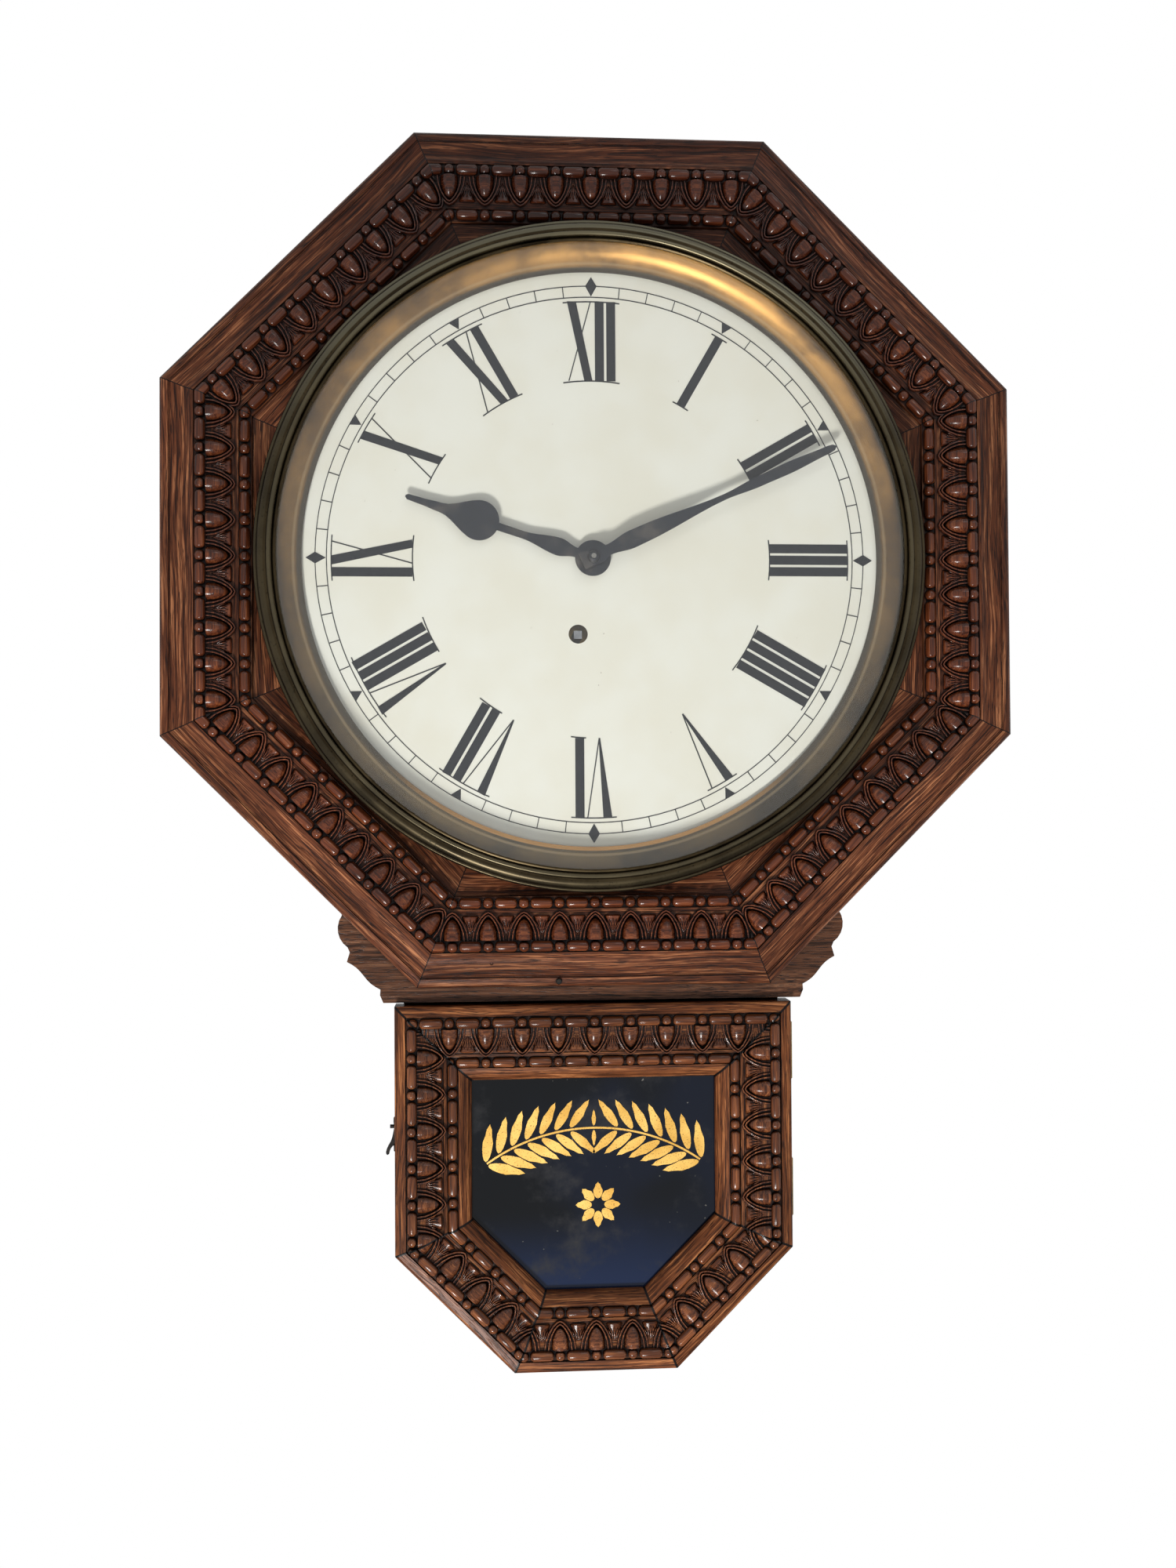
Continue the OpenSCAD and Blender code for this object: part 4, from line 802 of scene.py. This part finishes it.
def seam_line(tree, color, width):
    """A dark line where a length meets its neighbours at the mitres."""
    away = put(tree, "ShaderNodeAttribute", attribute_name="seam").outputs["Vector"]
    both = put(tree, "ShaderNodeSeparateXYZ", {0: away}).outputs
    near = reckon(tree, "MINIMUM", both["X"], both["Y"])
    return mixed(tree, spread(tree, near, width * 0.5, width), srgb(14, 9, 8), color)


def painted_top_shade(tree, color, low, high):
    """Painted shade: a colour that darkens upwards between two heights."""
    return mixed(tree, spread(tree, along(tree, "Z"), low, high), color, TOP_SHADE, "MULTIPLY")


def oak(name, group, vector_of, colors, pores, gather=None, seam=None, shine=0.0, smoke=None, **values):
    """Stained oak with the given dark, middle and light colours, and a varnish shine from -1, dull, to 1.

    Painted shade may darken its hollows, a seam show at its mitres, and more painted shade darken it
    upwards between two heights."""
    material, tree, shader = new_material(name, **values)
    dark, middle, light = colors
    inputs = {"Grain": vector_of(tree), "Dark": dark, "Middle": middle, "Light": light, "Pores": pores}
    wood = put(tree, "ShaderNodeGroup", inputs, node_tree=group)
    color = wood.outputs["Color"]
    # Painted shade that darkens the colour towards the top.
    if smoke:
        color = painted_top_shade(tree, color, *smoke)
    # Painted shade in the hollows.
    if gather:
        color = painted_hollow_shade(tree, color, *gather)
    if seam:
        color = seam_line(tree, color, seam)
    tree.links.new(color, shader.inputs["Base Color"])
    rough = times(tree, wood.outputs["Roughness"], 1 - 0.45 * shine)
    relief = 0.35 - 0.2 * max(shine, 0)
    tree.links.new(rough, shader.inputs["Roughness"])
    ridges = {"Height": wood.outputs["Height"], "Strength": relief, "Distance": 0.4 * MM}
    bump = put(tree, "ShaderNodeBump", ridges)
    tree.links.new(bump.outputs[0], shader.inputs["Normal"])
    return material


def kept_grain(tree):
    return put(tree, "ShaderNodeAttribute", attribute_name="grain").outputs["Vector"]


def turned_grain(turn, mirrored=False):
    """Object coordinates turned so that the grain runs along X."""
    def vector(tree):
        place = object_place(tree)
        if mirrored:
            place = put(tree, "ShaderNodeVectorMath", {0: place}, operation="ABSOLUTE").outputs[0]
        turns = tuple(math.radians(a) for a in turn)
        return put(tree, "ShaderNodeMapping", {"Vector": place, "Rotation": turns}).outputs[0]
    return vector


def metal(name, low, high, rough, grains=60.0, spots=None, **values):
    """Aged metal: two tones in slow patches, with fine mottling and a varying shine."""
    material, tree, shader = new_material(name, Metallic=1.0, **values)
    place = object_place(tree)
    patch = noise(tree, place, grains, 4, 0.6)
    speck = noise(tree, place, grains * 14, 2, 0.6)
    color = mixed(tree, spread(tree, patch, 0.35, 0.65), low, high)
    if spots:
        color = mixed(tree, spread(tree, speck, 0.6, 0.72), color, spots)
    tree.links.new(color, shader.inputs["Base Color"])
    shine = spread(tree, reckon(tree, "ADD", patch, speck), 0.7, 1.3, rough[0], rough[1])
    tree.links.new(shine, shader.inputs["Roughness"])
    bump = put(tree, "ShaderNodeBump", {"Height": speck, "Strength": 0.08, "Distance": 0.1 * MM})
    tree.links.new(bump.outputs[0], shader.inputs["Normal"])
    return material


def radius_of(tree):
    """Distance from the hand arbor's axis, in millimetres."""
    flat = stretch(tree, object_place(tree), (1 / MM, 0, 1 / MM))
    return put(tree, "ShaderNodeVectorMath", {0: flat}, operation="LENGTH").outputs["Value"]


def sight_material():
    """Golden lacquer in slow patches, with painted light: lit gold above, shaded brown below. The edge
    beside the dial is dark, but golden at the foot, and has a painted highlight line next to it. The outer
    edge is darkened by painted shade under the bezel, less at the top."""
    material, tree, shader = new_material("aged_sight_brass_painted_light", Metallic=1.0)
    place = object_place(tree)
    patch = noise(tree, stretch(tree, place, (26, 40, 26)), detail=6, rough=0.66)
    speck = noise(tree, place, 900, 2, 0.6)
    radius = radius_of(tree)
    height = along(tree, "Z")
    # Lit and shaded tones of the same lacquer, for painted light.
    lit_brass = mixed(tree, spread(tree, patch, 0.35, 0.65), srgb(96, 71, 39), srgb(142, 106, 58))
    shaded_brass = mixed(tree, spread(tree, patch, 0.35, 0.65), srgb(54, 47, 35), srgb(88, 73, 49))
    # Painted light: shaded brown below, lit gold above.
    color = mixed(tree, spread(tree, height, -0.12, 0.13), shaded_brass, lit_brass)
    color = mixed(tree, spread(tree, radius, 151.8, 153.6), srgb(66, 59, 47), color)
    at_foot = spread(tree, height, -0.1, -0.14, 0.0, 0.75)
    inner = times(tree, spread(tree, radius, 152.4, 151.8), at_foot)
    color = mixed(tree, inner, color, srgb(178, 132, 76))
    # A painted highlight line just outside the dark edge beside the dial.
    painted_highlight_line = times(tree, spread(tree, radius, 153.2, 154.0), spread(tree, radius, 155.4, 154.4))
    color = mixed(tree, times(tree, painted_highlight_line, 0.35), color, srgb(160, 140, 108))
    # Painted shade on the outer edge of the cove, under the bezel's wall, less at the top.
    below_top = spread(tree, height, 0.14, 0.05, 0.15, 1.0)
    edge = times(tree, spread(tree, radius, 160.4, 162.6), below_top)
    color = mixed(tree, edge, color, srgb(50, 48, 40))
    spotted = times(tree, spread(tree, speck, 0.62, 0.74), 0.3)
    color = mixed(tree, spotted, color, srgb(60, 50, 36))
    tree.links.new(color, shader.inputs["Base Color"])
    tree.links.new(spread(tree, patch, 0.3, 0.7, 0.3, 0.46), shader.inputs["Roughness"])
    return material


def paper_material():
    """Off-white dial paper with faint foxing and a few small specks."""
    material, tree, shader = new_material("dial_paper", Roughness=0.62, Specular_IOR_Level=0.25)
    place = object_place(tree)
    tint = noise(tree, place, 26, 3)
    speck = noise(tree, place, 600, 1, 0.4)
    color = mixed(tree, spread(tree, tint, 0.3, 0.7), srgb(234, 233, 221), srgb(229, 226, 210))
    color = mixed(tree, spread(tree, speck, 0.79, 0.83), color, srgb(128, 112, 90))
    tree.links.new(color, shader.inputs["Base Color"])
    return material


def ink_material():
    """Blue-black printing ink, a little worn."""
    material, tree, shader = new_material("dial_ink", Roughness=0.5, Specular_IOR_Level=0.1)
    place = object_place(tree)
    wornness = noise(tree, place, 700, 2)
    color = mixed(tree, spread(tree, wornness, 0.6, 0.8), srgb(16, 20, 26), srgb(28, 33, 40))
    tree.links.new(color, shader.inputs["Base Color"])
    return material


def hand_material():
    """Blued steel gone to slate, rubbed paler in patches."""
    material, tree, shader = new_material("blued_steel", Metallic=0.75)
    place = object_place(tree)
    rub = noise(tree, place, 55, 4)
    speck = noise(tree, place, 1100, 2)
    color = mixed(tree, spread(tree, rub, 0.5, 0.72), srgb(30, 34, 42), srgb(80, 76, 72))
    color = mixed(tree, spread(tree, speck, 0.6, 0.72), color, srgb(50, 46, 42))
    tree.links.new(color, shader.inputs["Base Color"])
    tree.links.new(spread(tree, rub, 0.3, 0.7, 0.5, 0.36), shader.inputs["Roughness"])
    return material


def tablet_material():
    """Blue-black painted glass with a smoky bloom, a bluer foot and pale flecks where paint is lost."""
    material, tree, shader = new_material("painted_tablet", Specular_IOR_Level=0.2)
    place = object_place(tree)
    smoke = noise(tree, place, 42, 5, 0.62)
    patch = noise(tree, place, 14, 2)
    fleck = noise(tree, place, 330, 2, 0.45)
    deep = mixed(tree, spread(tree, patch, 0.38, 0.62), srgb(4, 7, 12), srgb(8, 16, 32))
    deep = mixed(tree, spread(tree, along(tree, "Z"), -0.34, -0.39), deep, srgb(22, 36, 66))
    color = mixed(tree, spread(tree, smoke, 0.5, 0.8), deep, srgb(46, 46, 48))
    color = mixed(tree, spread(tree, fleck, 0.74, 0.79), color, srgb(112, 110, 104))
    tree.links.new(color, shader.inputs["Base Color"])
    tree.links.new(spread(tree, smoke, 0.4, 0.8, 0.05, 0.22), shader.inputs["Roughness"])
    return material


def gilt_material():
    """Gilding in two slow tones with a fine dark mottle."""
    material, tree, shader = new_material("mottled_gilt", Metallic=0.35, Roughness=0.5)
    place = object_place(tree)
    mottle = noise(tree, place, 1300, 3, 0.6)
    patch = noise(tree, place, 60, 2)
    color = mixed(tree, spread(tree, patch, 0.3, 0.7), srgb(214, 164, 70), srgb(240, 196, 104))
    color = mixed(tree, spread(tree, mottle, 0.56, 0.68), color, srgb(122, 84, 34))
    tree.links.new(color, shader.inputs["Base Color"])
    return material


def glass_material():
    """Clear glass that lets lamps through to the dial."""
    material, tree, shader = new_material("clear_glass", Roughness=0.01, IOR=1.45, Specular_IOR_Level=0.15)
    shader.inputs["Transmission Weight"].default_value = 1.0
    shader.inputs["Base Color"].default_value = (0.985, 0.995, 0.99, 1)
    clear = put(tree, "ShaderNodeBsdfTransparent")
    path = put(tree, "ShaderNodeLightPath").outputs
    light = reckon(tree, "MAXIMUM", path["Is Shadow Ray"], path["Is Diffuse Ray"])
    blend = put(tree, "ShaderNodeMixShader", {0: light})
    tree.links.new(shader.outputs[0], blend.inputs[1])
    tree.links.new(clear.outputs[0], blend.inputs[2])
    tree.links.new(blend.outputs[0], tree.nodes["Material Output"].inputs["Surface"])
    return material


def floor_material():
    """The pale ground that the clock is shown over."""
    material, tree, shader = new_material("pale_floor", Roughness=0.8)
    cloud = spread(tree, noise(tree, object_place(tree), 3, 2), 0.3, 0.7)
    color = mixed(tree, cloud, srgb(238, 238, 236), srgb(243, 243, 241))
    tree.links.new(color, shader.inputs["Base Color"])
    return material


HEAD_TONES = (srgb(38, 18, 11), srgb(100, 55, 34), srgb(178, 118, 80))
HEAD_CARVED = (srgb(50, 21, 11), srgb(94, 46, 25), srgb(132, 74, 42))
DOOR_TONES = (srgb(46, 23, 12), srgb(110, 62, 35), srgb(184, 120, 74))
DOOR_CARVED = (srgb(54, 26, 14), srgb(104, 57, 32), srgb(152, 92, 54))
# The colour that the painted shade at the top is multiplied by.
TOP_SHADE = (0.5, 0.46, 0.48, 1)
CASE_TONES = (srgb(46, 26, 16), srgb(96, 58, 36), srgb(136, 90, 58))
APRON_TONES = (srgb(46, 28, 18), srgb(94, 60, 42), srgb(128, 90, 66))


def dress(material, *names):
    """Gives CAD nodes a material in all their slots."""
    for name in names:
        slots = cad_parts[name].material_slots
        if not slots:
            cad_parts[name].data.materials.append(material)
        for place in slots:
            place.material = material


def dress_case(wood):
    """Dull boards with the grain along each one, and the apron with painted shade where other parts crowd
    it, most along its lower edge above the door.
    """
    boards = (
        ("case_oak_level", turned_grain((0, 0, 0)), ("case_top", "drop_bottom", "glass_slips")),
        ("case_oak_upright", turned_grain((0, 90, 0)), ("backboard", "case_sides", "drop_sides")),
        ("case_oak_slant", turned_grain((0, -45, 0), mirrored=True), ("shoulders", "drop_slants")),
    )
    for name, grain, pieces in boards:
        dress(oak(name, wood, grain, CASE_TONES, 0.8, shine=-1, Specular_IOR_Level=0.06), *pieces)
    # The apron's darkened hollows are painted shade, strongest along its lower edge above the door.
    apron = oak("apron_oak", wood, turned_grain((0, 0, 0)), APRON_TONES, 0.9,
                gather=(5 * MM, srgb(14, 8, 6), 0.35, 0.95), Specular_IOR_Level=0.15)
    dress(apron, "apron")


def center_material():
    """Wheel brass, with the steel of its arbor near the axis."""
    material, tree, shader = new_material("center_wheel_brass", Metallic=1.0, Roughness=0.34)
    steel = spread(tree, radius_of(tree), 2.6, 2.4)
    brass = mixed(tree, noise(tree, object_place(tree), 90), srgb(186, 152, 88), srgb(212, 180, 112))
    tree.links.new(mixed(tree, steel, brass, srgb(128, 126, 120)), shader.inputs["Base Color"])
    return material


def dress_metal(iron):
    """The movement, the pendulum, the hinges and the hands."""
    plate = metal("plate_brass", srgb(176, 146, 88), srgb(204, 174, 108), (0.3, 0.42))
    wheel = metal("wheel_brass", srgb(186, 152, 88), srgb(212, 180, 112), (0.24, 0.36), 90)
    hinge = metal("hinge_brass", srgb(110, 92, 56), srgb(150, 124, 76), (0.35, 0.5), 120, srgb(60, 48, 30))
    bob = metal("bob_brass", srgb(176, 138, 76), srgb(206, 168, 98), (0.16, 0.32), 40, srgb(120, 92, 50))
    steel = metal("drawn_steel", srgb(120, 122, 126), srgb(158, 160, 164), (0.3, 0.42), 90)
    spring = metal("spring_steel", srgb(70, 76, 90), srgb(104, 110, 124), (0.28, 0.4), 80)
    dress(plate, "front_plate", "back_plate", "pillars", "suspension_cock")
    dress(wheel, "main_wheel", "cannon_pinion", "third_wheel", "escape_wheel", "minute_wheel", "hour_wheel")
    dress(center_material(), "center_wheel")
    dress(hinge, "bezel_hinge_plate", "bezel_hinge_leaf", "door_hinge_plates", "door_hinge_leaves",
          "case_screws")
    dress(bob, "pendulum_bob", "rating_nut")
    dress(steel, "winding_arbor", "click", "verge", "pendulum_rod", "hanger_plate")
    dress(spring, "mainspring", "suspension_spring")
    dress(iron, "hook_pin")
    dress(hand_material(), "hour_hand", "minute_hand", "hand_nut")


def bezel_material():
    """Dark olive tarnish, with a painted highlight along the crown of the bead and the rim, most at the
    top, and painted shade in the grooves.
    """
    material, tree, shader = new_material("tarnished_bezel_painted_highlight", Metallic=1.0)
    place = object_place(tree)
    patch = noise(tree, place, 34, 4)
    speck = noise(tree, place, 800, 2)
    color = mixed(tree, spread(tree, patch, 0.3, 0.7), srgb(40, 33, 23), srgb(62, 53, 37))
    color = mixed(tree, spread(tree, speck, 0.6, 0.72), color, srgb(30, 25, 17))
    height = along(tree, "Z")
    # Painted highlight on the bead's crown, stronger towards the top.
    crown = spread(tree, along(tree, "Y"), -0.1179, -0.1189)
    crown = times(tree, crown, spread(tree, height, 0.06, 0.15, 0.35, 0.8))
    color = mixed(tree, crown, color, srgb(104, 98, 79))
    # Painted highlight on the rim, stronger towards the top.
    rim = spread(tree, radius_of(tree), 167.3, 168.0)
    rim = times(tree, rim, spread(tree, height, 0.04, 0.14, 0.1, 0.7))
    color = mixed(tree, rim, color, srgb(98, 95, 80))
    # Painted shade in the grooves between bead and rim.
    color = painted_hollow_shade(tree, color, 1.5 * MM, srgb(30, 26, 18))
    tree.links.new(color, shader.inputs["Base Color"])
    tree.links.new(spread(tree, patch, 0.3, 0.7, 0.24, 0.4), shader.inputs["Roughness"])
    return material


# Light and ground
FLOOR_SIZE = 3.2
FLOOR_HEIGHT = -1.6
AMBIENT_BELOW = (0.56, 0.565, 0.57, 1)
AMBIENT_ABOVE = (0.3, 0.305, 0.31, 1)


def lamp(name, place, target, size, power, color):
    bpy.ops.object.light_add(type="AREA", location=place)
    light = bpy.context.object
    light.name = name
    light.data.shape = "RECTANGLE"
    light.data.size, light.data.size_y = size
    light.data.energy = power
    light.data.color = color
    way = Vector(target) - Vector(place)
    light.rotation_euler = way.to_track_quat("-Z", "Y").to_euler()


def make_floor():
    bpy.ops.mesh.primitive_plane_add(size=FLOOR_SIZE, location=(0, 0, FLOOR_HEIGHT))
    floor = named("floor")
    edit(floor)
    bpy.ops.mesh.subdivide(number_cuts=6)
    finish_edit()
    floor.data.materials.append(floor_material())


def make_world():
    """White where it is seen, mirrored or seen through glass, and grey where it lights the clock."""
    world = bpy.data.worlds.new("studio")
    bpy.context.scene.world = world
    world.use_nodes = True
    tree = world.node_tree
    path = put(tree, "ShaderNodeLightPath").outputs
    seen = reckon(tree, "MAXIMUM", path["Is Camera Ray"], path["Is Glossy Ray"])
    seen = reckon(tree, "MAXIMUM", seen, path["Is Transmission Ray"])
    straight = reckon(tree, "LESS_THAN", path["Diffuse Depth"], 0.5)
    way = put(tree, "ShaderNodeTexCoord").outputs["Generated"]
    above = put(tree, "ShaderNodeSeparateXYZ", {0: way}).outputs["Z"]
    ambient = mixed(tree, spread(tree, above, -0.6, 0.8), AMBIENT_BELOW, AMBIENT_ABOVE)
    tint = mixed(tree, times(tree, seen, straight), ambient, (1, 1, 1, 1))
    tree.links.new(tint, tree.nodes["Background"].inputs["Color"])


def studio():
    lamp("low_key", (-0.42, -1.15, -1.22), (0, -0.09, -0.02), (0.32, 0.24), 22, (1.0, 0.99, 0.97))
    lamp("high_fill", (0.7, -1.5, 1.3), (0, -0.09, -0.1), (0.7, 0.5), 2.5, (0.95, 0.975, 1.0))
    make_floor()
    make_world()


wood = oak_group()
# Painted shade in the hollows of the carved lengths, standing also for stain gathered there; the head is
# also given painted shade towards its top.
stave_hollow_shade = (3.2 * MM, srgb(20, 9, 7), 0.45, 0.95)
head_seams_and_shade = {"gather": stave_hollow_shade, "seam": SEAM_HEAD, "smoke": (0.03, 0.19)}
door_seams_and_shade = {"gather": stave_hollow_shade, "seam": SEAM_DOOR}
plain = {"shine": 0.0, "Specular_IOR_Level": 0.13}
carved = {"shine": 1.0, "Specular_IOR_Level": 0.26}
head_plain = oak("head_oak", wood, kept_grain, HEAD_TONES, 0.85, **head_seams_and_shade, **plain)
head_carved = oak("head_carving", wood, kept_grain, HEAD_CARVED, 0.35, **head_seams_and_shade, **carved)
door_plain = oak("door_oak", wood, kept_grain, DOOR_TONES, 0.85, **door_seams_and_shade, **plain)
door_carved = oak("door_carving", wood, kept_grain, DOOR_CARVED, 0.5, **door_seams_and_shade, **carved)
head_staves(head_plain, head_carved)
door_frame(door_plain, door_carved)
wear(spun("spun_bezel", BEZEL_PROFILE), bezel_material(), "bezel", ["bezel_ring"])
wear(spun("spun_sight_ring", SIGHT_PROFILE), sight_material(), "bezel", ["sight_ring"])
gilt = gilt_material()
garland(gilt)
rosette(gilt)
dress_case(wood)
iron = metal("black_iron", srgb(26, 26, 28), srgb(48, 46, 44), (0.45, 0.6), 160, srgb(74, 58, 44))
side_hook(iron)
side_screw(iron)
nails(iron)
dress_metal(iron)
dress(paper_material(), "dial_pan")
dress(ink_material(), "dial_print")
dress(tablet_material(), "tablet_glass")
dress(glass_material(), "bezel_glass")
studio()

scene = bpy.context.scene
scene.view_settings.view_transform = "Standard"
